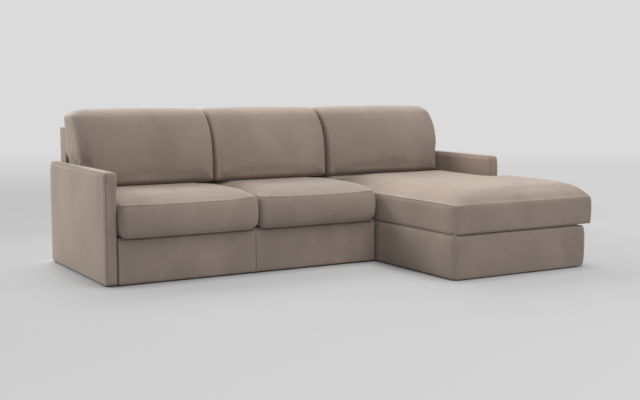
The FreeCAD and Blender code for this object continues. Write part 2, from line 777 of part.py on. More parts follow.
foot_pins = []
cam_pins = []
head_pins = []
wall_screws = []
lid_screws = []
link_face = hinge_side("left", wall_in_left, 1)
hinge_side("right", wall_in_right, -1)
group("hinge_foot_pins", foot_pins)
group("hinge_cam_pins", cam_pins)
group("hinge_head_pins", head_pins)
group("hinge_wall_screws", wall_screws)
group("hinge_lid_screws", lid_screws)
tube_x = (wall_in_left + link_face, wall_in_right - link_face)
tube = doc.addObject("Part::Cut", "tie_tube")
tube.Base = rod("tie_tube_outside", "X", tube_x[0], tube_x[1], S["tie_tube_radius"], foot[0], foot[1])
tube.Tool = rod("tie_tube_bore", "X", tube_x[0], tube_x[1], S["tie_tube_radius"] - S["tie_tube_wall"],
                foot[0], foot[1])
keep(tube, "tie_tube")


# Feet and joining plates under the frames
def feet(label, places):
    """Low square glides under a frame, each centred on its place."""
    half = S["foot_size"] / 2
    members = [box(f"{label}_{number}", (x - half, x + half), (y - half, y + half), (0, bottom))
               for number, (x, y) in enumerate(places)]
    return group(label, members)


inset = S["foot_inset"]
foot_rows = (inset, sofa_rear - inset)
arm_middles = (arm_in / 2, chaise_end + S["arm_thickness"] / 2)
feet("feet_arms", [(x, y) for x in arm_middles for y in foot_rows])
feet("feet_seat", [(x, frame_front + rail / 2) for x in (seat_split, frame_right - rail / 2 - inset)] +
     [(x, sofa_rear - inset) for x in (seat_split, frame_right - rail / 2 - inset)])
feet("feet_chaise", [(x, y) for x in (wall_in_left, wall_in_right)
                     for y in (store_foot + inset, store_rear)])
joint_x = (frame_right - rail, wall_in_left)
plates = []
for number, place in enumerate((frame_front + inset * 2, frame_rear - inset * 2)):
    plate_y = (place - S["joint_plate_length"] / 2, place + S["joint_plate_length"] / 2)
    plates.append(box(f"joint_plate_{number}", joint_x, plate_y, (bottom - S["joint_plate_thickness"], bottom)))
group("module_joint_plates", plates)


# Soft forms
def ring(corners, radii, level):
    """A closed wire of straight sides and quarter arcs round square corners, at one level."""
    count = len(corners)
    edges = []
    starts = []
    ends = []
    for i in range(count):
        here = FreeCAD.Vector(corners[i][0], corners[i][1], level)
        before = FreeCAD.Vector(corners[i - 1][0], corners[i - 1][1], level)
        after = FreeCAD.Vector(corners[(i + 1) % count][0], corners[(i + 1) % count][1], level)
        arriving = (here - before).normalize()
        leaving = (after - here).normalize()
        start = here - arriving * radii[i]
        end = here + leaving * radii[i]
        centre = start + leaving * radii[i]
        middle = centre + (here - centre).normalize() * radii[i]
        edges.append(Part.Arc(start, middle, end).toShape())
        starts.append(start)
        ends.append(end)
    sides = []
    for i in range(count):
        sides.append(edges[i])
        sides.append(Part.makeLine(ends[i], starts[(i + 1) % count]))
    return Part.Wire(sides)


def cushion(label, x, y, base, height, profile):
    """A crowned cushion: rounded rectangles at shares of the height, each drawn in from the widest."""
    corner = float(S["cushion_corner_radius"])
    wires = []
    for share, from_front, from_rear, from_sides in profile:
        left = float(x[0]) + from_sides
        right = float(x[1]) - from_sides
        front = float(y[0]) + from_front
        rear = float(y[1]) - from_rear
        corners = [(left, front), (right, front), (right, rear), (left, rear)]
        wires.append(ring(corners, [corner] * 4, float(base) + float(height) * share))
    return soft(label, Part.makeLoft(wires, True, True))


# Each row: share of the height, then how far the front, the rear and the two sides are drawn in
SEAT_PROFILE = (
    (0.00, 24, 12, 24),
    (0.10, 4, 3, 6),
    (0.42, 0, 0, 0),
    (0.78, 13, 4, 8),
    (0.90, 46, 12, 28),
    (1.00, 150, 50, 80),
)
BACK_PROFILE = (
    (0.00, 10, 12, 14),
    (0.10, 1, 2, 2),
    (0.42, 14, 0, 0),
    (0.74, 60, 0, 3),
    (0.90, 116, 8, 18),
    (1.00, 196, 50, 66),
)
gap = S["cushion_side_gap"]
seat_y = (0 - S["seat_cushion_proud"], back_front - gap)
cushion_split = seat_split + S["cushion_split_shift"]
bays = {
    "left": (arm_in + gap, cushion_split - gap / 2),
    "middle": (cushion_split + gap / 2, seat_end - gap * 2),
    "right": (seat_end + gap * 2, chaise_end - gap),
}
seat_bays = {
    "left": bays["left"],
    "middle": (bays["middle"][0], seat_end - S["cushion_end_gap"]),
}
for side in seat_bays:
    cushion(f"seat_cushion_{side}", seat_bays[side], seat_y, rest_height, S["seat_cushion_height"],
            SEAT_PROFILE)
back_y = (back_front - gap - S["back_cushion_thickness"], back_front - gap)
back_base = cushion_top + S["rest_gap"]
for side in bays:
    cushion(f"back_cushion_{side}", bays[side], back_y, back_base, S["back_cushion_height"],
            BACK_PROFILE)

# Fixed pad behind the lid, level with it, which carries the right back cushion
PAD_PROFILE = (
    (0.00, 0, 6, 2),
    (0.06, 0, 2, 0),
    (0.90, 0, 2, 0),
    (1.00, 0, 24, 12),
)
pad_base = deck_board_z[1]
cushion("chaise_deck_cushion", (lid_left, lid_right), (store_rear, back_front - gap), pad_base,
        cushion_top - pad_base, PAD_PROFILE)

# Box cushion of the lid: square lower edge, straight sides up to the welt, then a crown
LID_CROWN_PROFILE = ((0.0, 0), (0.45, 14), (0.84, 52), (1.0, 170))


def lid_ring(inset, level):
    left = float(lid_left) + inset
    right = float(lid_right) - inset
    wide = float(lid_end) - inset
    toe = float(lid_foot) + inset
    step = float(lid_step) - inset
    rear = float(lid_rear) - inset / 4
    small = float(S["lid_small_radius"])
    corners = [(left, toe), (wide, toe), (wide, step), (right, step), (right, rear), (left, rear)]
    return ring(corners, [float(S["lid_corner_radius"])] + [small] * (len(corners) - 1), level)


welt = float(rest_height + S["lid_side_height"])
lid_wires = [lid_ring(0, float(rest_height))]
for share, inset_here in LID_CROWN_PROFILE:
    lid_wires.append(lid_ring(inset_here, welt + float(S["lid_crown"]) * share))
lid_shape = Part.makeLoft(lid_wires, True, True)
frame_hollow = Part.makeBox(float(lid_frame_x[1] - lid_frame_x[0]), float(lid_frame_y[1] - lid_frame_y[0]),
                            float(S["lid_rail_height"]),
                            FreeCAD.Vector(float(lid_frame_x[0]), float(lid_frame_y[0]), float(rest_height)))
panel_hollow = Part.makeBox(float(lid_frame_x[1] - lid_frame_x[0]), float(lid_frame_y[1] - lid_frame_y[0]),
                            float(S["lid_panel_thickness"]),
                            FreeCAD.Vector(float(lid_frame_x[0]), float(lid_frame_y[0]), float(lid_panel_z[0])))
wing_hollow = Part.makeBox(float(lid_end - lid_skirt - lid_frame_x[1]),
                           float(lid_step - lid_skirt - lid_frame_y[0]),
                           float(S["lid_panel_thickness"]),
                           FreeCAD.Vector(float(lid_frame_x[1]), float(lid_frame_y[0]), float(lid_panel_z[0])))
for hollow in (frame_hollow, panel_hollow, wing_hollow):
    lid_shape = lid_shape.cut(hollow)
soft("lid_cushion", lid_shape)

doc.recompute()
for item in doc.Objects:
    if "Invalid" in item.State or "Error" in item.State:
        raise RuntimeError(f"{item.Label} failed: {item.State}")
for node in nodes:
    if node.Shape.isNull() or not node.Shape.isValid():
        raise RuntimeError(f"{node.Label} has no valid shape")
os.makedirs("parts", exist_ok=True)
for node in nodes:
    node.Shape.exportStep(f"parts/{node.Label}.step")
print(len(nodes), "sub-parts written")
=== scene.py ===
"""Looks of the sectional sofa with its storage chaise: upholstery, wood, webbing, hinge and studio.

Forms are worked out in millimetres in the sofa's plan: X to the right and Y to the back from the
front left corner of the left arm, Z up from the floor.  The last step sets them into the frame.
"""
import math
import bpy
import numpy as np
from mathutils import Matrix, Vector
from mathutils.bvhtree import BVHTree


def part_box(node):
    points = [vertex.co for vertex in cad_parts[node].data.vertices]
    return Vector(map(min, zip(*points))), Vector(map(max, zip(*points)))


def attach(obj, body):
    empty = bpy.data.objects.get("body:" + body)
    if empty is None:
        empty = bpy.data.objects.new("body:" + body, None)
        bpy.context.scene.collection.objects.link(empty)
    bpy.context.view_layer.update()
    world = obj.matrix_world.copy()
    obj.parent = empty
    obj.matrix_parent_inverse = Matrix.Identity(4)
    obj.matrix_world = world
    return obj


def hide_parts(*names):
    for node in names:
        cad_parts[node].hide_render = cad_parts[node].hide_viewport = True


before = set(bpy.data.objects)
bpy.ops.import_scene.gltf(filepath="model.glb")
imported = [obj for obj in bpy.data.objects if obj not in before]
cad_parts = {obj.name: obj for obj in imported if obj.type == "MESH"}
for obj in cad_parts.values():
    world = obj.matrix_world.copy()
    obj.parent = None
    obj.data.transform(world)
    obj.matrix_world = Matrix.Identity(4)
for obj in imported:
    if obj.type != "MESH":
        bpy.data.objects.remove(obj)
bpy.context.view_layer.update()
arm_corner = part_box("arm_left_cover")[0]
PLAN_START = np.array([arm_corner.x, arm_corner.y, 0.0])


def placed(points):
    """Plan millimetres to frame metres."""
    return np.asarray(points, float) / 1000 + PLAN_START


def corners(node):
    """Lowest and highest corner of a CAD part in plan millimetres."""
    low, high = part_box(node)
    return (np.array(low) - PLAN_START) * 1000, (np.array(high) - PLAN_START) * 1000


# ---------------------------------------------------------------- mesh building
def rungs(start, end, spacing, seams=(), also=()):
    """Grid lines from start to end, closer together at seams, and through the places in also."""
    count = max(2, round((end - start) / spacing))
    lines = list(np.linspace(start, end, count + 1))
    fixed = [start, end, *also]
    for seam in seams:
        fixed += [seam + step for step in (-8, -5, -3, -1.5, 0, 1.5, 3, 5, 8)]
    fixed = sorted({round(float(f), 4) for f in fixed if start <= f <= end})
    room = spacing * 0.45
    kept = [line for line in lines if min(abs(line - f) for f in fixed) > room]
    return np.array(sorted(kept + fixed))


def skin(xs, ys, zs, filled):
    """The closed skin of a grid's filled cells, with outward faces; filled is asked for cell middles."""
    middles = [(line[1:] + line[:-1]) / 2 for line in (xs, ys, zs)]
    solid = filled(*np.meshgrid(*middles, indexing="ij"))
    cells = np.zeros([len(m) + 2 for m in middles], bool)
    cells[1:-1, 1:-1, 1:-1] = solid
    unit = np.eye(3, dtype=int)
    quads = []
    for axis in range(3):
        for side in (-1, 1):
            open_side = cells & ~np.roll(cells, -side, axis)
            base = np.argwhere(open_side) - 1
            base[:, axis] += side > 0
            first = unit[(axis + 1) % 3]
            second = unit[(axis + 2) % 3]
            around = [base, base + first, base + first + second, base + second]
            quads.append(np.stack(around[::side], 1))
    keys, inverse = np.unique(np.concatenate(quads).reshape(-1, 3), axis=0, return_inverse=True)
    points = np.stack([xs[keys[:, 0]], ys[keys[:, 1]], zs[keys[:, 2]]], 1)
    return points, inverse.reshape(-1, 4)


def everywhere(x, y, z):
    return np.ones(x.shape, bool)


def within(x, y, z, low, high):
    inside = (x > low[0]) & (x < high[0]) & (y > low[1]) & (y < high[1])
    return inside & (z > low[2]) & (z < high[2])


def mesh_of(name, points, faces):
    mesh = bpy.data.meshes.new(name)
    mesh.from_pydata(np.asarray(points).tolist(), [], [list(map(int, face)) for face in faces])
    return mesh


def set_out(name, data):
    """A new object in the scene."""
    item = bpy.data.objects.new(name, data)
    bpy.context.scene.collection.objects.link(item)
    return item


def piece(name, points, faces, coat, smooth=True):
    """A mesh object from plan points, with its finish."""
    mesh = mesh_of(name, placed(points), faces)
    mesh.validate()
    mesh.polygons.foreach_set("use_smooth", [smooth] * len(mesh.polygons))
    mesh.materials.append(coat)
    return set_out(name, mesh)


def mark(item, name, values):
    """Stores one number for each point of a piece, which its finish reads."""
    attribute = item.data.attributes.new(name, "FLOAT", "POINT")
    attribute.data.foreach_set("value", np.asarray(values, np.float32))


def points_of(item):
    found = np.zeros(len(item.data.vertices) * 3)
    item.data.vertices.foreach_get("co", found)
    return found.reshape(-1, 3)


def normals_of(item):
    found = np.zeros(len(item.data.vertices) * 3, np.float32)
    item.data.vertex_normals.foreach_get("vector", found)
    return found.reshape(-1, 3)


def sewn(item, distance, depth=2.0):
    """Draws the cloth in along a seam, puffs it beside it, and marks both for the finish, which paints
    shade in the valley and a sheen highlight beside it.
    """
    distance = np.asarray(distance, float)
    valley = np.exp(-(distance / 1.7) ** 2)
    shoulder = np.exp(-((distance - 6) / 3.5) ** 2)
    moved = points_of(item) + normals_of(item) * ((shoulder * 0.5 - valley * depth) / 1000)[:, None]
    item.data.vertices.foreach_set("co", moved.astype(np.float32).ravel())
    item.data.update()
    # these marks make the finish paint shade in the seam's valley and a sheen highlight beside it
    mark(item, "seam_shade_near", np.clip(1 - distance / 3.2, 0, 1))
    mark(item, "rim_sheen_near", np.clip(1 - distance / 16, 0, 1))
    return item


def spline(knots, values):
    """A smooth line through values at knots, as a function."""
    knots = np.asarray(knots, float)
    values = np.asarray(values, float)
    gap = np.diff(knots)
    rise = np.diff(values) / gap
    count = len(knots)
    rows = np.eye(count)
    right = np.zeros(count)
    for i in range(1, count - 1):
        rows[i, i - 1:i + 2] = gap[i - 1], 2 * (gap[i - 1] + gap[i]), gap[i]
        right[i] = 6 * (rise[i] - rise[i - 1])
    bend = np.linalg.solve(rows, right)

    def line(at):
        at = np.clip(at, knots[0], knots[-1])
        i = np.clip(np.searchsorted(knots, at, side="right") - 1, 0, count - 2)
        a = knots[i + 1] - at
        b = at - knots[i]
        h = gap[i]
        curve = (bend[i] * a ** 3 + bend[i + 1] * b ** 3) / (6 * h)
        chord = (values[i] / h - bend[i] * h / 6) * a + (values[i + 1] / h - bend[i + 1] * h / 6) * b
        return curve + chord

    return line


def ease(value, start, end):
    """From 0 at start to 1 at end, turning smoothly."""
    t = np.clip((value - start) / (end - start), 0, 1)
    return t * t * (3 - 2 * t)


def eased_edges(points, low, high, low_radius, high_radius):
    """Rounds a block's edges: radii are for the low and high side of each axis, as numbers or arrays."""
    out = points.copy()
    reach = np.zeros_like(points)
    radius = np.ones_like(points)
    for axis in range(3):
        value = points[:, axis]
        from_low = np.broadcast_to(np.asarray(low_radius[axis], float), value.shape)
        from_high = np.broadcast_to(np.asarray(high_radius[axis], float), value.shape)
        under = value < low[axis] + from_low
        over = value > high[axis] - from_high
        reach[under, axis] = (value - low[axis] - from_low)[under]
        radius[under, axis] = from_low[under]
        reach[over, axis] = (value - high[axis] + from_high)[over]
        radius[over, axis] = from_high[over]
    share = reach / np.maximum(radius, 1e-6)
    long = np.linalg.norm(share, axis=1)
    most = np.abs(share).max(axis=1)
    scale = np.where(long > 1e-9, most / np.maximum(long, 1e-9), 1)
    out += (scale[:, None] - 1) * reach
    return out


def round_corners(points, *places):
    """Rounds upright corners in plan: each has its X, Y, its way into the piece on both, and its radius."""
    out = points.copy()
    for x, y, toward_x, toward_y, radius in places:
        dx = (out[:, 0] - x) * toward_x
        dy = (out[:, 1] - y) * toward_y
        inside = (dx < radius) & (dy < radius) & (dx > -1) & (dy > -1)
        a = np.minimum(dx - radius, 0)
        b = np.minimum(dy - radius, 0)
        long = np.hypot(a, b)
        scale = np.where(long > 1e-9, np.maximum(-a, -b) / np.maximum(long, 1e-9), 1)
        out[inside, 0] = (x + toward_x * (radius + a * scale))[inside]
        out[inside, 1] = (y + toward_y * (radius + b * scale))[inside]
    return out


# ---------------------------------------------------------------- finishes
def colour(red, green, blue):
    """Screen values from 0 to 255 as the plain numbers a shader takes."""
    def plain(value):
        value = value / 255
        return value / 12.92 if value <= 0.04045 else ((value + 0.055) / 1.055) ** 2.4
    return (plain(red), plain(green), plain(blue), 1.0)


def feed(socket, value):
    """Links another node's output to a socket, or sets the socket to a plain value."""
    if isinstance(value, bpy.types.NodeSocket):
        socket.id_data.links.new(value, socket)
    else:
        socket.default_value = value


def node(tree, kind, settings=(), **values):
    """A node with its settings, and its sockets filled by name, or by number as n0, n1 and so on."""
    made = tree.nodes.new(kind)
    for key, value in dict(settings).items():
        setattr(made, key, value)
    for key, value in values.items():
        numbered = key[0] == "n" and key[1:].isdigit()
        feed(made.inputs[int(key[1:]) if numbered else key.replace("_", " ")], value)
    return made


def maths(tree, operation, first, second=0.0, third=0.0, clamp=False):
    return node(tree, "ShaderNodeMath", {"operation": operation, "use_clamp": clamp},
                n0=first, n1=second, n2=third).outputs[0]


def vectors(tree, operation, first, second=(0.0, 0.0, 0.0), output=0):
    """Vector arithmetic; output 1 is the plain number of a dot product or a length."""
    made = node(tree, "ShaderNodeVectorMath", {"operation": operation}, n0=first, n1=second)
    return made.outputs[output]


def scaled(tree, vector, factor):
    """A vector or a colour times a number."""
    return node(tree, "ShaderNodeVectorMath", {"operation": "SCALE"}, n0=vector, Scale=factor).outputs[0]


def weighed(tree, *parts, clamp=False):
    """The sum of values, each times its weight."""
    total = 0.0
    for number, (value, weight) in enumerate(parts, 1):
        total = maths(tree, "MULTIPLY_ADD", value, weight, total, clamp and number == len(parts))
    return total


def mixed(tree, share, first, second):
    """A colour between two colours."""
    return node(tree, "ShaderNodeMix", {"data_type": "RGBA"}, n0=share, n6=first, n7=second).outputs[2]


def stretch(tree, value, low, high, to_low=0.0, to_high=1.0):
    return node(tree, "ShaderNodeMapRange", {"clamp": True}, n0=value, n1=low, n2=high, n3=to_low,
                n4=to_high).outputs[0]


def noise(tree, place, scale, detail=2.0, roughness=0.5, distortion=0.0):
    return node(tree, "ShaderNodeTexNoise", Vector=place, Scale=scale, Detail=detail,
                Roughness=roughness, Distortion=distortion).outputs[0]


def own_place(tree):
    """Where a point lies in its piece's own coordinates."""
    return node(tree, "ShaderNodeTexCoord").outputs["Object"]


def effect(name, inputs, outputs):
    """An empty shader node group: its inputs with their first values, and its outputs by name."""
    tree = bpy.data.node_groups.new(name, "ShaderNodeTree")
    kinds = {1: "NodeSocketFloat", 3: "NodeSocketVector", 4: "NodeSocketColor"}
    for label, value in inputs.items():
        socket = tree.interface.new_socket(label, in_out="INPUT", socket_type=kinds[np.size(value)])
        socket.default_value = value
    for label in outputs:
        kind = "NodeSocketColor" if label == "Color" else "NodeSocketFloat"
        tree.interface.new_socket(label, in_out="OUTPUT", socket_type=kind)
    return tree, tree.nodes.new("NodeGroupInput").outputs, tree.nodes.new("NodeGroupOutput").inputs


def nap_effect():
    """Short pile brushed in patches: lighter where it lies one way, darker where it lies the other."""
    tree, given, result = effect("brushed_nap", {
        "Pile": (0.3, 0.25, 0.2, 1), "Patch Depth": 0.5, "Patches per Metre": 4.0,
    }, ("Color", "Height", "Roughness"))
    place = own_place(tree)
    brushed = node(tree, "ShaderNodeMapping", Vector=place, Scale=(1.0, 1.0, 0.55)).outputs[0]
    patch = noise(tree, brushed, given["Patches per Metre"], 3.0, 0.55, 0.6)
    small = noise(tree, place, 38.0, 3.0, 0.6)
    upright = node(tree, "ShaderNodeMapping", Vector=place, Scale=(60.0, 60.0, 5.0)).outputs[0]
    streak = noise(tree, upright, 1.0)
    pile = noise(tree, place, 900.0, 1.0)
    share = weighed(tree, (stretch(tree, patch, 0.34, 0.66), 0.62), (small, 0.24), (streak, 0.14))
    depth = maths(tree, "MULTIPLY", maths(tree, "SUBTRACT", share, 0.5), given["Patch Depth"])
    feed(result["Color"], scaled(tree, given["Pile"], maths(tree, "ADD", depth, 1.0)))
    feed(result["Height"], weighed(tree, (small, 0.7), (pile, 0.3)))
    feed(result["Roughness"], stretch(tree, share, 0.2, 0.8, 0.82, 0.96))
    return tree


def seam_shade_and_sheen_effect():
    """Painted shade darkens the valley of a seam, and a painted sheen highlight lightens the pile that
    stands up beside it.
    """
    tree, given, result = effect("painted_seam_shade_and_sheen", {
        "Color": (0.3, 0.25, 0.2, 1), "Valley Depth": 0.5, "Rim Lift": 0.1,
    }, ("Color",))
    near = node(tree, "ShaderNodeAttribute", {"attribute_name": "seam_shade_near"}).outputs["Fac"]
    rim = node(tree, "ShaderNodeAttribute", {"attribute_name": "rim_sheen_near"}).outputs["Fac"]
    # painted sheen highlight: the pile beside a seam is lightened
    lift = maths(tree, "MULTIPLY_ADD", rim, given["Rim Lift"], 1.0)
    # painted shade: the valley of a seam is darkened
    fall = maths(tree, "MULTIPLY", near, given["Valley Depth"])
    feed(result["Color"], scaled(tree, given["Color"], maths(tree, "SUBTRACT", lift, fall)))
    return tree


def grain_effect():
    """Sawn softwood: long growth bands that bend round a few darker knots, with fine fibres along them."""
    tree, given, result = effect("sawn_grain", {
        "Light Wood": (0.6, 0.4, 0.2, 1), "Dark Wood": (0.4, 0.25, 0.12, 1),
        "Across Grain": (1.0, 1.0, 1.0),
    }, ("Color", "Height", "Roughness"))
    run = vectors(tree, "MULTIPLY", own_place(tree), given["Across Grain"])
    bands = node(tree, "ShaderNodeTexWave", {"bands_direction": "DIAGONAL"}, Vector=run, Scale=14.0,
                 Distortion=5.0, Detail=3.0, Detail_Scale=1.4).outputs["Fac"]
    fibre = noise(tree, run, 210.0, 3.0, 0.6)
    tone = noise(tree, run, 5.0)
    knots = node(tree, "ShaderNodeTexVoronoi", Vector=run, Scale=3.2).outputs["Distance"]
    knot = stretch(tree, knots, 0.05, 0.12, 1.0, 0.0)
    dark = weighed(tree, (bands, 0.45), (fibre, 0.35), (tone, 0.25), (knot, 0.6), clamp=True)
    feed(result["Color"], mixed(tree, dark, given["Light Wood"], given["Dark Wood"]))
    feed(result["Height"], weighed(tree, (fibre, 0.7), (bands, 0.3)))
    feed(result["Roughness"], stretch(tree, fibre, 0.3, 0.7, 0.58, 0.78))
    return tree


def layer_effect():
    """Plywood: veneer grain on the faces, and thin light and dark layers wherever an edge shows."""
    tree, given, result = effect("glued_layers", {
        "Face": (0.6, 0.45, 0.3, 1), "Dark Layer": (0.3, 0.2, 0.1, 1),
        "Through": (0.0, 0.0, 1.0), "Layers per Metre": 420.0,
    }, ("Color", "Height"))
    where = node(tree, "ShaderNodeTexCoord").outputs
    depth = vectors(tree, "DOT_PRODUCT", where["Object"], given["Through"], 1)
    facing = vectors(tree, "DOT_PRODUCT", where["Normal"], given["Through"], 1)
    edge = maths(tree, "LESS_THAN", maths(tree, "ABSOLUTE", facing), 0.5)
    wander = noise(tree, where["Object"], 30.0)
    turn = weighed(tree, (depth, given["Layers per Metre"]), (wander, 0.3))
    veneer = noise(tree, where["Object"], 9.0, 6.0, 0.65, 1.2)
    fleck = noise(tree, where["Object"], 240.0)
    across = maths(tree, "MULTIPLY", maths(tree, "PINGPONG", turn, 1.0), edge)
    dark = weighed(tree, (across, 0.7), (veneer, 0.3), (fleck, 0.12), clamp=True)
    feed(result["Color"], mixed(tree, dark, given["Face"], given["Dark Layer"]))
    feed(result["Height"], weighed(tree, (across, 0.6), (fleck, 0.4)))
    return tree


def wear_effect():
    """Handling marks on metal and plastic: fine scratches, dull smears and a speckled coat."""
    tree, given, result = effect("handled_surface", {
        "Base": (0.1, 0.1, 0.1, 1), "Worn": (0.2, 0.2, 0.2, 1), "Low Roughness": 0.3,
        "High Roughness": 0.5, "Brush": (1.0, 1.0, 1.0),
    }, ("Color", "Roughness", "Height"))
    place = own_place(tree)
    scratch = noise(tree, vectors(tree, "MULTIPLY", place, given["Brush"]), 400.0, 3.0, 0.7)
    smear = noise(tree, place, 24.0, 3.0)
    speck = noise(tree, place, 1100.0, 1.0)
    share = weighed(tree, (stretch(tree, scratch, 0.55, 0.7), 0.5), (smear, 0.4))
    feed(result["Color"], mixed(tree, share, given["Base"], given["Worn"]))
    feed(result["Roughness"], stretch(tree, smear, 0.3, 0.7, given["Low Roughness"],
                                      given["High Roughness"]))
    feed(result["Height"], weighed(tree, (speck, 0.5), (scratch, 0.5)))
    return tree


def weave_effect():
    """A plain weave of flat yarns; the shade varies a little from yarn to yarn."""
    tree, given, result = effect("woven_yarns", {
        "Yarn": (0.3, 0.3, 0.3, 1), "Shade": (0.1, 0.1, 0.1, 1), "Yarns per Metre": 500.0,
    }, ("Color", "Height"))
    place = own_place(tree)
    split = node(tree, "ShaderNodeSeparateXYZ", Vector=scaled(tree, place, given["Yarns per Metre"]))
    warp, weft = [maths(tree, "SINE", maths(tree, "MULTIPLY", maths(tree, "PINGPONG", way, 1.0), math.pi))
                  for way in split.outputs[:2]]
    height = maths(tree, "MULTIPLY", warp, weft)
    fuzz = noise(tree, place, 320.0, 3.0)
    share = weighed(tree, (height, -0.4), (fuzz, 0.9), clamp=True)
    feed(result["Color"], mixed(tree, share, given["Yarn"], given["Shade"]))
    feed(result["Height"], maths(tree, "MULTIPLY_ADD", fuzz, 0.5, height))
    return tree


NAP = nap_effect()
SEAM_SHADE_AND_SHEEN = seam_shade_and_sheen_effect()
GRAIN = grain_effect()
LAYERS = layer_effect()
WEAR = wear_effect()
WEAVE = weave_effect()


def finish(name, roughness=0.6, **constants):
    """A new material with its Principled shader's plain numbers set."""
    made = bpy.data.materials.new(name)
    made.use_nodes = True
    shader = made.node_tree.nodes["Principled BSDF"]
    for key, value in dict(constants, Roughness=roughness).items():
        shader.inputs[key.replace("_", " ")].default_value = value
    return made, made.node_tree, shader


def raised(tree, shader, height, strength, distance):
    bump = node(tree, "ShaderNodeBump", Height=height, Strength=strength, Distance=distance)
    feed(shader.inputs["Normal"], bump.outputs[0])


def covered(tree, shader, group, strength, distance, **values):
    """Lays a shared effect over a material: its colour, its roughness where it has one, its height."""
    made = node(tree, "ShaderNodeGroup", {"node_tree": group}, **values)
    feed(shader.inputs["Base Color"], made.outputs["Color"])
    if "Roughness" in made.outputs:
        feed(shader.inputs["Roughness"], made.outputs["Roughness"])
    raised(tree, shader, made.outputs["Height"], strength, distance)
    return made


def velvet(name, pile):
    """Short pile with a soft sheen, brushed in patches, with painted shade in its seams and a painted sheen
    highlight beside them.
    """
    made, tree, shader = finish(name, Sheen_Weight=0.5, Sheen_Roughness=0.42,
                                Sheen_Tint=colour(235, 222, 210), Specular_IOR_Level=0.18)
    nap = covered(tree, shader, NAP, 0.3, 0.0012, Pile=pile, Patch_Depth=0.34, Patches_per_Metre=3.4)
    # painted shade in the seam valleys and a painted sheen highlight beside them
    seam = node(tree, "ShaderNodeGroup", {"node_tree": SEAM_SHADE_AND_SHEEN}, Color=nap.outputs["Color"],
                Valley_Depth=0.3, Rim_Lift=0.1)
    feed(shader.inputs["Base Color"], seam.outputs["Color"])
    return made


def softwood(name, across):
    """Planed pine whose grain runs along one axis: across holds how fast the figure changes on each."""
    made, tree, shader = finish(name, Specular_IOR_Level=0.35)
    covered(tree, shader, GRAIN, 0.3, 0.0006, Light_Wood=colour(222, 190, 142),
            Dark_Wood=colour(168, 122, 74), Across_Grain=across)
    return made


def plywood(name, through):
    """Birch plywood whose layers are stacked along one axis."""
    made, tree, shader = finish(name, 0.62, Specular_IOR_Level=0.3)
    covered(tree, shader, LAYERS, 0.3, 0.0005, Face=colour(214, 190, 152),
            Dark_Layer=colour(142, 106, 70), Through=through, Layers_per_Metre=420.0)
    return made


def handled(name, base, worn, low, high, metallic, brush=(1, 1, 1)):
    """Metal or plastic, a little worn: low and high are the ends of its roughness."""
    made, tree, shader = finish(name, Metallic=metallic)
    covered(tree, shader, WEAR, 0.15, 0.0003, Base=base, Worn=worn, Low_Roughness=low,
            High_Roughness=high, Brush=brush)
    return made


def woven(name, yarn, shade, yarns, strength, roughness=0.9):
    made, tree, shader = finish(name, roughness, Specular_IOR_Level=0.2)
    covered(tree, shader, WEAVE, strength, 0.0008, Yarn=yarn, Shade=shade, Yarns_per_Metre=yarns)
    return made


def felted(name, light, dark):
    """Pressed fibres with no weave: soft clouds of two shades with a hairy surface."""
    made, tree, shader = finish(name, 0.97, Specular_IOR_Level=0.1, Sheen_Weight=0.2)
    place = own_place(tree)
    hair = noise(tree, place, 180.0, 4.0, 0.7, 1.5)
    share = weighed(tree, (hair, 0.7), (noise(tree, place, 12.0, 3.0), 0.3))
    feed(shader.inputs["Base Color"], mixed(tree, stretch(tree, share, 0.35, 0.65), light, dark))
    raised(tree, shader, hair, 0.5, 0.001)
    return made


UPHOLSTERY = velvet("taupe_velvet", colour(154, 139, 128))
PINE_ALONG = softwood("pine_along_width", (0.08, 1.0, 1.0))
PINE_DEEP = softwood("pine_along_depth", (1.0, 0.08, 1.0))
PINE_UP = softwood("pine_upright", (1.0, 1.0, 0.08))
PLY_FLAT = plywood("ply_laid_flat", (0.0, 0.0, 1.0))
PLY_SIDE = plywood("ply_side_wall", (1.0, 0.0, 0.0))
PLY_CROSS = plywood("ply_cross_wall", (0.0, 1.0, 0.0))
PAINTED_STEEL = handled("black_painted_steel", colour(46, 47, 49), colour(86, 86, 88), 0.32, 0.5, 0.35)
BRIGHT_STEEL = handled("zinc_plated_steel", colour(172, 174, 178), colour(128, 130, 134), 0.22, 0.42, 1.0,
                       (0.1, 1, 1))
GLIDE_PLASTIC = handled("black_glide_plastic", colour(30, 30, 31), colour(52, 52, 53), 0.45, 0.6, 0.0)
WEBBING = woven("jute_webbing", colour(178, 160, 128), colour(104, 88, 64), 620.0, 0.8)
LINING = woven("black_dust_cloth", colour(54, 53, 53), colour(20, 20, 20), 900.0, 0.4)
FELT = felted("grey_wool_felt", colour(168, 163, 156), colour(112, 108, 103))
THREAD = woven("taupe_thread", colour(176, 160, 147), colour(128, 113, 103), 2600.0, 0.3, 0.6)
STAPLE_STEEL = handled("staple_steel", colour(160, 160, 162), colour(112, 112, 114), 0.3, 0.5, 1.0)


# ---------------------------------------------------------------- soft forms
FINE, COARSE = 11, 27        # grid spacing of a cushion, and of the copy that swells
STITCH_STEP = 10             # between the rays that find a row of stitches
SEAM_TO_STITCH = 5
AIM = 60                     # from a ray's start to the side it is aimed at
NO_SEAM = 60.0               # distance given to points that no seam comes near
TOUCH = 0.01                 # a point closer than this lies on a side
HEM_DROP = 3.0               # covers hang this far below the solids' hems
LIP_RISE, LIP = 9.0, 2.5     # height and thickness of the cloth turned up behind a cover's top
BOXING_SHARE = 0.66          # where a back cushion's seam lies, from its back to its front
THREAD_ROWS = {}             # rows of places to be stitched, by body


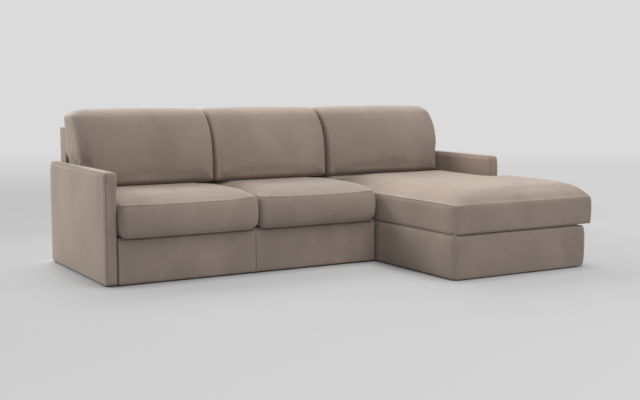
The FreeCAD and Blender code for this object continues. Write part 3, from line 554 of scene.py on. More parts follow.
def swollen(points, loose, loose_faces, held, most):
    """Lets a coarse copy of a cushion swell as cloth held at its seams, and moves the fine points too."""
    last_frame = 20
    scene = bpy.context.scene
    item = set_out("filling", mesh_of("filling", loose / 1000, loose_faces))
    seams = item.vertex_groups.new(name="seams")
    seams.add(np.flatnonzero(held).tolist(), 1.0, "REPLACE")
    cloth = item.modifiers.new("cover", "CLOTH")
    cloth.point_cache.frame_end = last_frame
    settings = cloth.settings
    settings.quality = 5
    settings.mass = 0.4
    settings.tension_stiffness = 25
    settings.compression_stiffness = 25
    settings.bending_stiffness = 2.0
    settings.use_pressure = True
    settings.uniform_pressure_force = 4.0
    settings.vertex_group_mass = "seams"
    settings.effector_weights.gravity = 0.0
    for number in range(1, last_frame + 1):
        scene.frame_set(number)
    result = item.evaluated_get(bpy.context.evaluated_depsgraph_get()).to_mesh()
    moved = np.zeros(len(result.vertices) * 3)
    result.vertices.foreach_get("co", moved)
    shift = moved.reshape(-1, 3) * 1000 - loose
    scene.frame_set(1)
    bpy.data.objects.remove(item)
    long = np.linalg.norm(shift, axis=1)
    shift *= (most * np.tanh(long / most) / np.maximum(long, 1e-6))[:, None]
    tree = BVHTree.FromPolygons(loose.tolist(), loose_faces.tolist())
    nearest = [tree.find_nearest(Vector(point)) for point in points]
    cell = loose_faces[[hit[2] for hit in nearest]]
    spot = np.array([hit[0] for hit in nearest])
    weight = 1 / (np.linalg.norm(loose[cell] - spot[:, None], axis=2) + 0.5) ** 2
    weight /= weight.sum(1, keepdims=True)
    return points + (shift[cell] * weight[:, :, None]).sum(1)


def plumped(form, coarse, fine, most):
    """A cushion's fine form, swollen by up to most, with its faces and its points' distances to a seam."""
    loose, loose_faces, _, held = form(coarse, False)
    points, faces, seam_distance, _ = form(fine, True)
    return swollen(points, loose, loose_faces, held, most), faces, seam_distance


def thread_row(item, body, starts, ways, closed=False):
    """Finds where rays from the starts meet a piece, and keeps them as one row to be stitched."""
    lift = 0.00015
    tree = BVHTree.FromPolygons(points_of(item).tolist(), [tuple(f.vertices) for f in item.data.polygons])
    row = []
    for start, way in zip(placed(starts), np.broadcast_to(np.asarray(ways, float), np.shape(starts))):
        spot, normal, _, _ = tree.ray_cast(Vector(start), Vector(way))
        if spot is not None:
            row.append(spot + normal * lift)
    THREAD_ROWS.setdefault(body, []).append((row, closed))


def welt_row(item, body, middle, count):
    """One closed row round a cushion at a single height, found by rays from its middle."""
    angle = np.linspace(0, 2 * math.pi, count, endpoint=False)
    ways = np.column_stack([np.cos(angle), np.sin(angle), 0 * angle])
    thread_row(item, body, np.tile(middle, (count, 1)), ways, True)


def dressed(item, body, nodes):
    """Sets a finished piece on its body, in place of the CAD parts that it stands for."""
    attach(item, body)
    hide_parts(*nodes)
    return item


def seat_cushion(name, body, node_name, forward, rise):
    """A box cushion: a band all round, sewn to a crowned top panel, with drawn-in lower corners.

    It stands forward of its solid by forward; rise lifts its left and right ends.
    """
    low, high = corners(node_name)
    left, right = low[0], high[0]
    front, rear = low[1] - forward, high[1]
    base = low[2]
    rim = base + 168
    crown_height = 50
    middle = (left + right) / 2
    half = (right - left) / 2

    def form(spacing, seams):
        xs = rungs(left, right, spacing, (left, right) if seams else ())
        ys = rungs(front, rear, spacing, (front, rear) if seams else ())
        zs = rungs(base, rim, spacing, (rim,) if seams else (), (base + 8,))
        flat, faces = skin(xs, ys, zs, everywhere)
        x, y, z = flat.T
        share = (z - base) / (rim - base)
        band = np.minimum(np.minimum(x - left, right - x), np.minimum(y - front, rear - y))
        seam_distance = (rim - z) + band
        held = (seam_distance < 1) | ((band < 1) & (z < base + 9)) | (z < base + 1)
        front_round, rear_round = 38, 30
        points = round_corners(flat, (left, front, 1, 1, front_round), (left, rear, 1, -1, rear_round),
                               (right, front, -1, 1, front_round), (right, rear, -1, -1, rear_round))
        x, y, _ = points.T
        across = (x - middle) / half
        draw_front = spline([0, 0.07, 0.2, 0.45, 0.76, 0.9, 1], [28, 13, 3, -1, 1, 6, 14])(share)
        draw_side = spline([0, 0.08, 0.22, 0.5, 0.8, 0.92, 1], [30, 14, 5, 1, 2, 5, 10])(share)
        to_front = 1 - (y - front) / (rear - front)
        y = y + draw_front * to_front ** 2 - draw_side * 0.4 * (1 - to_front) ** 2
        bow = 10 * np.abs(across) ** 3.5
        y = y + bow * np.clip(1 - (y - front) / 260, 0, 1) ** 1.5
        x = middle + (x - middle) * (1 - draw_side / half)
        lift = np.where(across < 0, rise[0], rise[1]) * np.abs(across) ** 4 * ease(share, 0.4, 1)
        on_top = np.isclose(flat[:, 2], rim)
        from_side = np.minimum(x - left, right - x) - 8
        from_front = y - front - 12
        crown = crown_height * (1 - np.exp(-np.maximum(from_front, 0) / 62))
        crown *= 1 - np.exp(-np.maximum(from_side, 0) / 26)
        crown *= 1 - np.exp(-np.maximum(rear - 6 - y, 0) / 16)
        crown *= 1 - 0.125 * ease(y, 420, 565)  # pressed down below the back cushion
        top = z + lift * (1 - ease(y, 350, 520)) + np.where(on_top, crown, 0)
        return np.stack([x, y, top], 1), faces, seam_distance, held

    points, faces, seam_distance = plumped(form, COARSE, FINE, 7)
    x, y, z = points.T
    under_back_cushion = y > 540
    z = np.where(under_back_cushion, np.minimum(z, high[2]), z)
    points = np.stack([np.clip(x, left, right), np.minimum(y, rear), np.maximum(z, base)], 1)
    item = piece(name, points, faces, UPHOLSTERY)
    sewn(item, seam_distance, 1.6)
    welt_row(item, body, (middle, (front + rear) / 2, rim - SEAM_TO_STITCH), 360)
    return dressed(item, body, [node_name])


def back_cushion(name, body, node_name, end_radii, forward, bulges=(0.0, 0.0)):
    """A leaning cushion: a soft front panel wraps round to a boxing strip, sewn to it in one loop.

    end_radii round its left and right ends, and bulges swell them over the arms.
    """
    low, high = corners(node_name)
    left, right = low[0], high[0]
    front, rear = low[1] - forward, high[1]
    thick = rear - front
    base = low[2]
    top = 904.0
    middle = (left + right) / 2
    half = (right - left) / 2
    boxing = rear - BOXING_SHARE * thick
    # How far its front stands out from its back, by height.
    lean = spline([465, 540, 602, 698, 761, 800, 842, 867, 892, 912],
                  [312, 309, 305, 291, 271, 251, 223, 200, 166, 128])

    def form(spacing, seams):
        xs = rungs(left, right, spacing)
        ys = rungs(front, rear, spacing, (boxing,) if seams else (), (boxing,))
        zs = rungs(base, top, spacing)
        flat, faces = skin(xs, ys, zs, everywhere)
        rim = np.minimum(np.minimum(flat[:, 0] - left, right - flat[:, 0]), top - flat[:, 2])
        seam_distance = np.abs(flat[:, 1] - boxing) + np.maximum(rim, 0)
        widen = 26 * ease(flat[:, 2], 790, 900)
        points = eased_edges(flat, (left, front, base), (right, rear, top),
                             (end_radii[0] + widen, 74, 26), (end_radii[1] + widen, 30, 44))
        x, y, z = points.T
        across = np.clip((x - middle) / half, -1, 1)
        up = (z - base) / (top - base)
        y = rear - (rear - y) * (lean(z) + forward) / thick
        full = (1 - across ** 2) * np.sin(np.pi * np.clip(up, 0, 1)) ** 0.8
        y = y - 7 * full * (rear - y) / thick
        z = z + 6 * (1 - across ** 2) * up ** 2
        above_arm = ease(z, 604, 670) * (1 - ease(z, 860, 925))
        x = x + above_arm * (bulges[1] * ease(across, 0.9, 1) - bulges[0] * ease(-across, 0.9, 1))
        return np.stack([x, y, z], 1), faces, seam_distance, seam_distance < 1

    points, faces, seam_distance = plumped(form, COARSE, FINE, 7)
    x, y, z = points.T
    x = np.clip(x, left - bulges[0], right + bulges[1])
    points = np.stack([x, np.minimum(y, rear), np.maximum(z, base)], 1)
    item = piece(name, points, faces, UPHOLSTERY)
    sewn(item, seam_distance, 1.3)
    heights = np.arange(base + 24, top - 50, STITCH_STEP)
    across_top = np.arange(left + 70, right - 70, STITCH_STEP)
    behind = rear + SEAM_TO_STITCH
    starts = [(left - AIM, behind - BOXING_SHARE * (lean(h) + forward), h) for h in heights]
    starts += [(x, behind - BOXING_SHARE * (lean(top) + forward), top + 80) for x in across_top]
    starts += [(right + AIM, behind - BOXING_SHARE * (lean(h) + forward), h) for h in heights[::-1]]
    ways = [(1, 0, 0)] * len(heights) + [(0, 0, -1)] * len(across_top) + [(-1, 0, 0)] * len(heights)
    thread_row(item, body, starts, ways)
    return dressed(item, body, [node_name])


def lid_cushion():
    """The chaise's box cushion, round the lid's frame: upright sides, a welt all round and a crown."""
    low, high = corners("lid_cushion")
    panel_low, panel_high = corners("lid_panel")
    rail_low = corners("lid_rail_left")[0]
    rail_high = corners("lid_rail_right")[1]
    step_x = rail_high[0] + 13
    step_y = -8.0
    rim = low[2] + 152
    crown_height = 74.0
    crown_softness = (72, 9, 66, 22, 12)  # from the left, right, foot, rear and notch

    def form(spacing, seams):
        lines = [(low[0], high[0], step_x), (low[1], high[1], step_y), (rim,)] if seams else [(), (), ()]
        xs = rungs(low[0], high[0], spacing, lines[0], (rail_low[0], rail_high[0], panel_high[0], step_x))
        ys = rungs(low[1], high[1], spacing, lines[1], (rail_low[1], rail_high[1], step_y - 13, step_y))
        zs = rungs(low[2], rim, spacing, lines[2], (rail_high[2], panel_high[2]))

        def filled(x, y, z):
            wing = (x > step_x) & (y > step_y)
            frame_room = within(x, y, z, rail_low, rail_high)
            panel_room = within(x, y, z, panel_low, panel_high) & ~((x > rail_high[0]) & (y > step_y - 13))
            return ~wing & ~frame_room & ~panel_room

        flat, faces = skin(xs, ys, zs, filled)
        x, y, z = flat.T
        to_notch = np.hypot(np.maximum(step_x - x, 0), np.maximum(step_y - y, 0))
        sides = np.stack([x - low[0], high[0] - x, y - low[1], high[1] - y, to_notch])
        band = sides.min(0)
        seam_distance = (rim - z) + band
        outer = band < TOUCH
        points = round_corners(flat, (low[0], low[1], 1, 1, 42), (high[0], low[1], -1, 1, 14),
                               (high[0], step_y, -1, -1, 14), (high[0], high[1], -1, -1, 10),
                               (low[0], high[1], 1, -1, 10))
        x, y, _ = points.T
        share = (z - low[2]) / (rim - low[2])
        swell = 4.5 * np.sin(np.pi * np.clip(share, 0, 1)) ** 0.7 - 3 * ease(share, 0.9, 1)
        swell = np.where(outer, swell, 0)
        x = x - swell * (flat[:, 0] < low[0] + TOUCH) + 1.2 * swell * (flat[:, 0] > high[0] - TOUCH)
        y = y - swell * (flat[:, 1] < low[1] + TOUCH) * 0.4
        x = np.maximum(x, low[0] - 4)
        on_top = np.isclose(flat[:, 2], rim)
        crown = crown_height
        for distance, soft in zip(sides, crown_softness):
            crown = crown * (1 - np.exp(-np.maximum(distance, 0) / soft))
        z = z + np.where(on_top, crown, 0)
        held = ~on_top | (seam_distance < 1)
        return np.stack([x, y, z], 1), faces, seam_distance, held

    points, faces, seam_distance = plumped(form, 32, 12, 8)
    item = piece("lid_cushion_velvet", points, faces, UPHOLSTERY)
    sewn(item, seam_distance, 2.0)
    welt_row(item, "lid", ((low[0] + step_x) / 2, -400.0, rim - SEAM_TO_STITCH), 600)
    return dressed(item, "lid", ["lid_cushion"])


def arm_cover(side):
    """A slim padded arm: two side panels sewn to one strip that runs up the front and over the top."""
    node_name = f"arm_{side}_cover"
    low, high = corners(node_name)
    low[2] -= HEM_DROP
    slot_low, slot_high = corners(f"arm_{side}_board")
    seam_inset = 9
    strips = (low[0] + seam_inset, high[0] - seam_inset)
    xs = rungs(low[0], high[0], 9, strips, (slot_low[0], slot_high[0]))
    ys = rungs(low[1], high[1], 12, (), (low[1] + 2, low[1] + 5, low[1] + 9, slot_low[1], slot_high[1]))
    zs = rungs(low[2], high[2], 12, (), (slot_high[2], high[2] - 8, high[2] - 16))

    def filled(x, y, z):
        return ~within(x, y, z, (slot_low[0], slot_low[1], 0), slot_high)

    flat, faces = skin(xs, ys, zs, filled)
    x, y, z = flat.T
    on_strip = (y < low[1] + TOUCH) | (z > high[2] - TOUCH)
    seam_distance = np.minimum(np.abs(x - strips[0]), np.abs(x - strips[1]))
    seam_distance = np.where(on_strip, seam_distance, NO_SEAM)
    roll = 14 + 12 * ease(z, high[2] - 70, high[2] - 20)
    points = eased_edges(flat, low, high, (roll, 26, 3), (roll, 26, 28))
    x, y, z = points.T
    offset = flat[:, 0] - (low[0] + high[0]) / 2
    half = (high[0] - low[0]) / 2
    outside = np.abs(offset) > half - TOUCH
    up = np.clip((z - low[2]) / (high[2] - low[2]), 0, 1)
    along = np.clip((y - low[1]) / (high[1] - low[1]), 0, 1)
    pad = 2.5 * (1 - (2 * up - 1) ** 4) * (1 - (2 * along - 1) ** 6)
    x = x + np.where(outside, np.sign(offset) * (pad - 2), 0)
    if side == "left":
        above_seat = ease(z, 468, 580) * (1 - ease(y, 470, 540))
        x = x + 9 * np.clip(offset / half, 0, 1) * above_seat
    item = piece(f"arm_{side}_velvet", np.stack([x, y, z], 1), faces, UPHOLSTERY)
    sewn(item, seam_distance, 1.5)
    heights = np.arange(low[2] + 8, high[2] - 16, STITCH_STEP)
    depths = np.arange(low[1] + 16, high[1] - 20, STITCH_STEP)
    beside = seam_inset / 2
    for place in (strips[0] + beside, strips[1] - beside):
        starts = [(place, low[1] - AIM, h) for h in heights] + [(place, d, high[2] + AIM) for d in depths]
        ways = [(0, 1, 0)] * len(heights) + [(0, 0, -1)] * len(depths)
        thread_row(item, "base", starts, ways)
    return dressed(item, "base", [node_name])


def front_cover(side):
    """A padded panel on the front of a seat, turned under at the floor and in at the middle seam.

    The middle one stops short of the chaise and leaves a narrow groove, whose back and wall get painted
    shade.
    """
    node_name = f"seat_front_cover_{side}"
    low, high = corners(node_name)
    low[2] -= HEM_DROP
    top = high[2] + LIP_RISE
    lip = 4
    groove = high[0] - (9.0 if side == "middle" else 0.0)
    xs = rungs(low[0], high[0], 12, (low[0], high[0]), (groove, groove - 4))
    ys = rungs(low[1], high[1], 3)
    zs = rungs(low[2], high[2], 10, (), (low[2] + 2, high[2] - 2, high[2] - 5, top))
    zs = np.append(zs[zs <= high[2]], top)

    def filled(x, y, z):
        return ((z < high[2]) & (x < groove)) | (y > high[1] - lip)

    flat, faces = skin(xs, ys, zs, filled)
    seam_place = high[0] if side == "left" else low[0]
    outer_round = 3 if side == "left" else 0.01
    painted_shade_in_groove = (flat[:, 0] > groove - TOUCH) & (flat[:, 1] > low[1] + TOUCH) & (side == "middle")
    points = eased_edges(flat, low, (high[0], high[1], top), (3, 8, 4), (outer_round, 0.01, 0.01))
    shoulder = (flat[:, 1] < low[1] + TOUCH) & (flat[:, 2] > high[2] - 6)
    points[shoulder, 1] += (flat[shoulder, 2] - high[2] + 6) * 0.9
    x, y, z = points.T
    up = (z - low[2]) / (high[2] - low[2])
    pad = 3.0 * (1 - (2 * up - 1) ** 4)
    y = y - np.where(flat[:, 1] < low[1] + TOUCH, pad - 1, 0)
    item = piece(f"seat_front_{side}_velvet", np.stack([x, y, z], 1), faces, UPHOLSTERY)
    # painted shade: points in the groove are given a seam distance of 0, so the finish darkens them
    sewn(item, np.where(painted_shade_in_groove, 0, np.abs(flat[:, 0] - seam_place) + 1.0), 0.4)
    heights = np.arange(low[2] + 6, high[2] - 8, STITCH_STEP)
    place = seam_place - 6 if side == "left" else seam_place + 6
    thread_row(item, "base", [(place, low[1] - AIM, h) for h in heights], (0, 1, 0))
    return dressed(item, "base", [node_name])


def chaise_skirt():
    """The chaise's padded skirt: a round foot corner with a seam on each side, a full right side, and
    painted shade on its left side next to the seat.
    """
    low, high = corners("chaise_cover")
    low[2] -= HEM_DROP
    top = high[2] + LIP_RISE
    wall_left, _ = corners("chaise_wall_left")
    _, wall_right = corners("chaise_wall_right")
    arm_low, _ = corners("arm_right_cover")
    inner_low = (wall_left[0], wall_left[1], 0)
    inner_high = (wall_right[0], wall_right[1] + 50, 400)
    foot_round = 42
    arm_front = -0.3
    twin = (low[0] + 26, low[1] + 26)
    xs = rungs(low[0], high[0], 12, (twin[0],), (inner_low[0], inner_high[0], arm_low[0],
                                                 low[0] + foot_round))
    ys = rungs(low[1], high[1], 12, (twin[1],), (inner_low[1], wall_right[1], low[1] + foot_round,
                                                 arm_front))
    zs = rungs(low[2], high[2], 10, (), (low[2] + 2, high[2] - 2, high[2] - 5))
    zs = np.append(zs, top)
    xs = np.union1d(xs, (inner_low[0] - LIP, inner_high[0] + LIP))
    ys = np.union1d(ys, (inner_low[1] - LIP,))

    def filled(x, y, z):
        lip = (x > inner_low[0] - LIP) & (x < inner_high[0] + LIP) & (y > inner_low[1] - LIP)
        outside = ~within(x, y, z, inner_low, inner_high) & ~((x > arm_low[0]) & (y > arm_front))
        return outside & ((z < high[2]) | lip)

    flat, faces = skin(xs, ys, zs, filled)
    x, y, z = flat.T
    left = x < low[0] + TOUCH
    toe = y < low[1] + TOUCH
    right = x > high[0] - TOUCH
    seam_distance = np.full(len(flat), NO_SEAM)
    seam_distance[toe] = np.abs(x[toe] - twin[0])
    seam_distance[left] = np.minimum(seam_distance[left], np.abs(y[left] - twin[1]))
    # painted shade: the left side nearest the seat, in the groove beside it, is given a short seam distance
    # so the finish darkens it
    painted_shade_beside_seat = 40 * (1 - ease(y[left], -56, -28))
    seam_distance[left] = np.minimum(seam_distance[left], painted_shade_beside_seat)
    up = np.clip((z - low[2]) / (high[2] - low[2]), 0, 1)
    pad = 5.0 * (1 - (2 * up - 1) ** 4) - 1.5 - 3 * ease(up, 0.93, 1) - 2 * (1 - ease(up, 0, 0.05))
    points = round_corners(flat, (low[0], low[1], 1, 1, foot_round), (high[0], low[1], -1, 1, 12))
    wrapped = (flat[:, 0] > inner_low[0] - LIP - 0.1) & (flat[:, 1] > inner_low[1] - LIP - 0.1)
    points[wrapped] = flat[wrapped]
    x, y, z = points.T
    short_of_seat = 1 - ease(y, -90, -25)
    x = x - np.where(left, pad, 0) * short_of_seat + np.where(right, pad * 2.4, 0)
    y = y - np.where(toe, pad * 0.4, 0)
    item = piece("chaise_skirt_velvet", np.stack([x, y, z], 1), faces, UPHOLSTERY)
    sewn(item, seam_distance, 0.6)
    heights = np.arange(low[2] + 6, high[2] - 8, STITCH_STEP)
    toe_side, left_side = twin[0] + SEAM_TO_STITCH, twin[1] + SEAM_TO_STITCH
    thread_row(item, "base", [(toe_side, low[1] - AIM, h) for h in heights], (0, 1, 0))
    thread_row(item, "base", [(low[0] - AIM, left_side, h) for h in heights], (1, 0, 0))
    return dressed(item, "base", ["chaise_cover"])


def back_cover(side):
    """The padded cover over a back frame, open below, with a seam along its top edges."""
    node_name = f"back_{side}_cover"
    low, high = corners(node_name)
    low[2] -= HEM_DROP
    post_low, post_high = corners(f"back_{side}_rails")
    top_seam = 12
    xs = rungs(low[0], high[0], 14, (), (post_low[0], post_high[0], low[0] + 3, high[0] - 3))
    ys = rungs(low[1], high[1], 10, (), (post_low[1], post_high[1], low[1] + 3, high[1] - 3))
    zs = rungs(low[2], high[2], 14, (high[2] - top_seam,), (post_high[2],))

    def filled(x, y, z):
        return ~within(x, y, z, (post_low[0], post_low[1], 0), post_high)

    flat, faces = skin(xs, ys, zs, filled)
    below_seam = np.abs(flat[:, 2] - high[2] + top_seam)
    seam_distance = np.where(flat[:, 1] > high[1] - TOUCH, below_seam, NO_SEAM)
    points = eased_edges(flat, low, high, (6, 8, 2), (6, 10, 12))
    item = piece(f"back_{side}_velvet", points, faces, UPHOLSTERY)
    sewn(item, seam_distance, 1.6)
    places = np.arange(low[0] + top_seam, high[0] - top_seam, 12)
    height = high[2] - top_seam - SEAM_TO_STITCH
    thread_row(item, "base", [(place, high[1] + AIM, height) for place in places], (0, -1, 0))
    return dressed(item, "base", [node_name])


def deck_cushion():
    """The fixed pad behind the lid that carries the right back cushion."""
    low, high = corners("chaise_deck_cushion")
    crown_height = 14
    rim = high[2] - crown_height
    xs = rungs(low[0], high[0], 12, (low[0], high[0]))
    ys = rungs(low[1], high[1], 12, (low[1], high[1]))
    zs = rungs(low[2], rim, 12, (rim,))
    flat, faces = skin(xs, ys, zs, everywhere)
    x, y, z = flat.T
    sides = np.stack([x - low[0], high[0] - x, y - low[1], high[1] - y])
    band = sides.min(0)
    crown = crown_height * np.prod([1 - np.exp(-np.maximum(d, 0) / 14) for d in sides], axis=0)
    points = round_corners(flat, *((cx, cy, tx, ty, 14) for cx, tx in ((low[0], 1), (high[0], -1))
                                   for cy, ty in ((low[1], 1), (high[1], -1))))
    points[:, 2] += np.where(np.isclose(z, rim), crown, 0)
    item = piece("chaise_deck_velvet", points, faces, UPHOLSTERY)
    sewn(item, (rim - z) + band, 1.6)
    return dressed(item, "base", ["chaise_deck_cushion"])


def band_of(points, faces, low, high, along):
    """Adds one flat strap with rounded edges, running along X (0) or Y (1)."""
    across = 1 - along
    run = np.linspace(low[along], high[along], 41)
    half = (high[across] - low[across]) / 2
    wide = (low[across] + high[across]) / 2
    flat = half - 1.2
    profile = [(-half, 0.5), (-flat, 0), (0, 0), (flat, 0), (half, 0.5), (flat, 1), (0, 1), (-flat, 1)]
    first = len(points)
    for place in run:
        for offset, level in profile:
            spot = [0, 0, low[2] + level * (high[2] - low[2])]
            spot[along] = place
            spot[across] = wide + offset
            points.append(spot)
    count = len(profile)
    for i in range(len(run) - 1):
        for j in range(count):
            a = first + i * count + j
            b = first + i * count + (j + 1) % count
            quad = [a, b, b + count, a + count]
            faces.append(quad if along == 0 else quad[::-1])
    last = first + (len(run) - 1) * count
    ends = [list(range(first, first + count)), list(range(last, last + count))]
    faces.append(ends[0][::-1] if along == 0 else ends[0])
    faces.append(ends[1] if along == 0 else ends[1][::-1])


def webbing(name, node_name, along, count):
    """Elastic straps across the seat frame, stretched side by side; the staples at their ends are not
    drawn.
    """
    low, high = corners(node_name)
    across = 1 - along
    width = 60
    step = (high[across] - low[across] - width) / (count - 1)
    points, faces = [], []
    for number in range(count):
        strap_low, strap_high = low.copy(), high.copy()
        strap_low[across] = low[across] + step * number
        strap_high[across] = strap_low[across] + width
        band_of(points, faces, strap_low, strap_high, along)
    item = piece(name, points, faces, WEBBING, smooth=False)
    return dressed(item, "base", [node_name])


def deck_pad():
    """The felt pad over the webbing, with soft edges and shallow hollows between the straps."""
    low, high = corners("seat_deck_pad")
    xs = rungs(low[0], high[0], 24)
    ys = rungs(low[1], high[1], 24)
    zs = np.array([low[2], (low[2] + high[2]) / 2, high[2]])
    flat, faces = skin(xs, ys, zs, everywhere)
    points = eased_edges(flat, low, high, (2, 2, 2), (2, 2, 2))
    strap_pitch = (66, 215)
    waves = [np.sin((flat[:, axis] - low[axis]) * math.pi / strap_pitch[axis]) ** 2 for axis in (0, 1)]
    hollow = waves[0] * waves[1]
    points[:, 2] -= np.where(flat[:, 2] > high[2] - TOUCH, 0.8 * hollow, 0)
    item = piece("seat_deck_felt", points, faces, FELT)
    return dressed(item, "base", ["seat_deck_pad"])


def dust_cloth():
    """Thin black cloth stapled under the seat frame, a little slack between its staples."""
    low, high = corners("seat_dust_cloth")
    below_frame = 0.4
    level = high[2] - below_frame
    columns, lines = 66, 36
    xs = np.linspace(low[0], high[0], columns)
    ys = np.linspace(low[1], high[1], lines)
    x, y = np.meshgrid(xs, ys, indexing="ij")
    edge = np.minimum(np.minimum(x - low[0], high[0] - x), np.minimum(y - low[1], high[1] - y))
    slack = 1.4 * ease(edge, 0, 120) + 0.5 * np.sin(x / 41) * np.sin(y / 57) * ease(edge, 0, 60)
    points = np.stack([x, y, level - slack], 2).reshape(-1, 3)
    starts = [i * lines + j for i in range(columns - 1) for j in range(lines - 1)]
    faces = [(a, a + 1, a + lines + 1, a + lines) for a in starts]
    item = piece("seat_dust_cloth_lining", points, faces, LINING)
    dressed(item, "base", ["seat_dust_cloth"])
    inset = 8.0
    row = [(low[0] + inset, low[1] + inset), (high[0] - inset, low[1] + inset),
           (high[0] - inset, high[1] - inset), (low[0] + inset, high[1] - inset)]
    return [Vector(placed((a, b, level - 0.6))) for a, b in row]


seat_cushion("seat_left_velvet", "seat_left_cushion", "seat_cushion_left", 2, (0, 11))
seat_cushion("seat_middle_velvet", "seat_middle_cushion", "seat_cushion_middle", 0, (6, 5))
back_cushion("back_left_velvet", "back_left_cushion", "back_cushion_left", (46, 12), 6, (19.0, 0.0))
back_cushion("back_middle_velvet", "back_middle_cushion", "back_cushion_middle", (12, 12), 0)
back_cushion("back_right_velvet", "back_right_cushion", "back_cushion_right", (12, 22), 12, (0.0, 12.0))
lid_cushion()
deck_cushion()
for arm_side in ("left", "right"):
    arm_cover(arm_side)
for front_side in ("left", "middle"):
    front_cover(front_side)
chaise_skirt()
for back_side in ("seat", "chaise"):
    back_cover(back_side)
webbing("seat_straps_webbing", "seat_straps", 1, 12)
webbing("seat_cross_webbing", "seat_cross_straps", 0, 4)
deck_pad()
staple_line = dust_cloth()


# ---------------------------------------------------------------- repeated fastenings
MEMBER_SIZES = ("Pitch", "Member Length", "Member Width", "Member Height")  # metres


def row_tree(name, finish_used, blocky):
    """Nodes that set one small member after another along a line, turned to follow it."""
    tree = bpy.data.node_groups.new(name, "GeometryNodeTree")
    interface = tree.interface
    interface.new_socket("Line", in_out="INPUT", socket_type="NodeSocketGeometry")
    for label in MEMBER_SIZES:
        interface.new_socket(label, in_out="INPUT", socket_type="NodeSocketFloat")
    interface.new_socket("Row", in_out="OUTPUT", socket_type="NodeSocketGeometry")
    given = tree.nodes.new("NodeGroupInput")
    result = tree.nodes.new("NodeGroupOutput")
    line = node(tree, "GeometryNodeMeshToCurve", n0=given.outputs["Line"])
    spots = node(tree, "GeometryNodeCurveToPoints", {"mode": "LENGTH"}, Curve=line.outputs[0],
                 Length=given.outputs["Pitch"])
    if blocky:
        member = node(tree, "GeometryNodeMeshCube", Size=(1.0, 1.0, 1.0)).outputs["Mesh"]
    else:
        member = node(tree, "GeometryNodeMeshUVSphere", Segments=6, Rings=4, Radius=0.5).outputs["Mesh"]
    size = node(tree, "ShaderNodeCombineXYZ", X=given.outputs["Member Width"],
                Y=given.outputs["Member Height"], Z=given.outputs["Member Length"])
    members = node(tree, "GeometryNodeInstanceOnPoints", Points=spots.outputs["Points"], Instance=member,
                   Rotation=spots.outputs["Rotation"], Scale=size.outputs[0])
    real = node(tree, "GeometryNodeRealizeInstances", n0=members.outputs[0])
    coated = node(tree, "GeometryNodeSetMaterial", n0=real.outputs[0], Material=finish_used)
    feed(result.inputs[0], coated.outputs[0])
    return tree


def laid_rows(name, body, rows, tree, finish_used, slot, *sizes):
    """Runs the nodes over the rows of one body, and keeps the result as one plain mesh."""
    points, edges = [], []
    for row, closed in rows:
        first = len(points)
        points += [tuple(spot) for spot in row]
        edges += [(first + i, first + i + 1) for i in range(len(row) - 1)]
        if closed:
            edges.append((first + len(row) - 1, first))
    mesh = bpy.data.meshes.new(name + "_line")
    mesh.from_pydata(points, edges, [])
    carrier = set_out(name + "_line", mesh)
    nodes = carrier.modifiers.new("row", "NODES")
    nodes.node_group = tree
    named = dict(zip(MEMBER_SIZES, sizes))
    for socket in tree.interface.items_tree:
        if socket.name in named:
            nodes[socket.identifier] = named[socket.name]
    bpy.context.view_layer.update()
    made = bpy.data.meshes.new_from_object(carrier.evaluated_get(bpy.context.evaluated_depsgraph_get()))
    bpy.data.objects.remove(carrier)
    made.materials.clear()
    made.materials.append(finish_used)
    made.polygons.foreach_set("use_smooth", [True] * len(made.polygons))
    item = set_out(name, made)
    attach(item, body)


STITCH_TREE = row_tree("stitch_row", THREAD, False)
STAPLE_TREE = row_tree("staple_row", STAPLE_STEEL, True)
for sewn_body, sewn_rows in THREAD_ROWS.items():
    laid_rows(f"stitches_{sewn_body}", sewn_body, sewn_rows, STITCH_TREE, THREAD, "upholstery",
              0.0048, 0.0036, 0.0009, 0.0007)
laid_rows("dust_cloth_staples", "base", [(staple_line, True)], STAPLE_TREE, STAPLE_STEEL, "bright_steel",
          0.048, 0.011, 0.0014, 0.0007)

# ---------------------------------------------------------------- finishes of the CAD parts
CAD_FINISHES = {
    PINE_ALONG: ("back_chaise_rails", "back_seat_rails", "seat_front_board", "seat_rear_rail",
                 "lid_rail_foot", "lid_rail_rear", "lid_slat_set"),
    PINE_DEEP: ("seat_left_rail", "seat_middle_rail", "seat_right_rail", "lid_rail_left", "lid_rail_right"),
    PINE_UP: ("back_chaise_posts", "back_seat_posts", "seat_corner_blocks"),
    PLY_FLAT: ("lid_panel", "chaise_deck_board", "chaise_floor"),
    PLY_SIDE: ("arm_left_board", "arm_right_board", "chaise_wall_left", "chaise_wall_right"),
    PLY_CROSS: ("chaise_wall_foot", "chaise_wall_middle", "chaise_wall_rear"),
    PAINTED_STEEL: ("cam_plate_left", "cam_plate_right", "hinge_bracket_left", "hinge_bracket_right",
                    "link_left", "link_right", "tie_tube", "module_joint_plates"),
    BRIGHT_STEEL: ("hinge_cam_pins", "hinge_foot_pins", "hinge_head_pins", "hinge_lid_screws",
                   "hinge_wall_screws"),
    GLIDE_PLASTIC: ("feet_arms", "feet_chaise", "feet_seat"),
}
for cad_finish, cad_names in CAD_FINISHES.items():
    for cad_name in cad_names:
        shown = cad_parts[cad_name]
        shown.data.materials.clear()
        shown.data.materials.append(cad_finish)


# ---------------------------------------------------------------- studio
def beyond(tree, place, low, high):
    """How far a place on the floor lies outside a rectangle, in metres."""
    middle = [(a + b) / 2 for a, b in zip(low, high)]
    half = [(b - a) / 2 for a, b in zip(low, high)]
    offset = vectors(tree, "ABSOLUTE", vectors(tree, "SUBTRACT", place, (*middle, 0)))
    offset = vectors(tree, "MAXIMUM", vectors(tree, "SUBTRACT", offset, (*half, 0)))
    return vectors(tree, "LENGTH", offset, output=1)


def blended(tree, share, first, second):
    """A share of the second shader over the first."""
    return node(tree, "ShaderNodeMixShader", n0=share, n1=first.outputs[0], n2=second.outputs[0]).outputs[0]


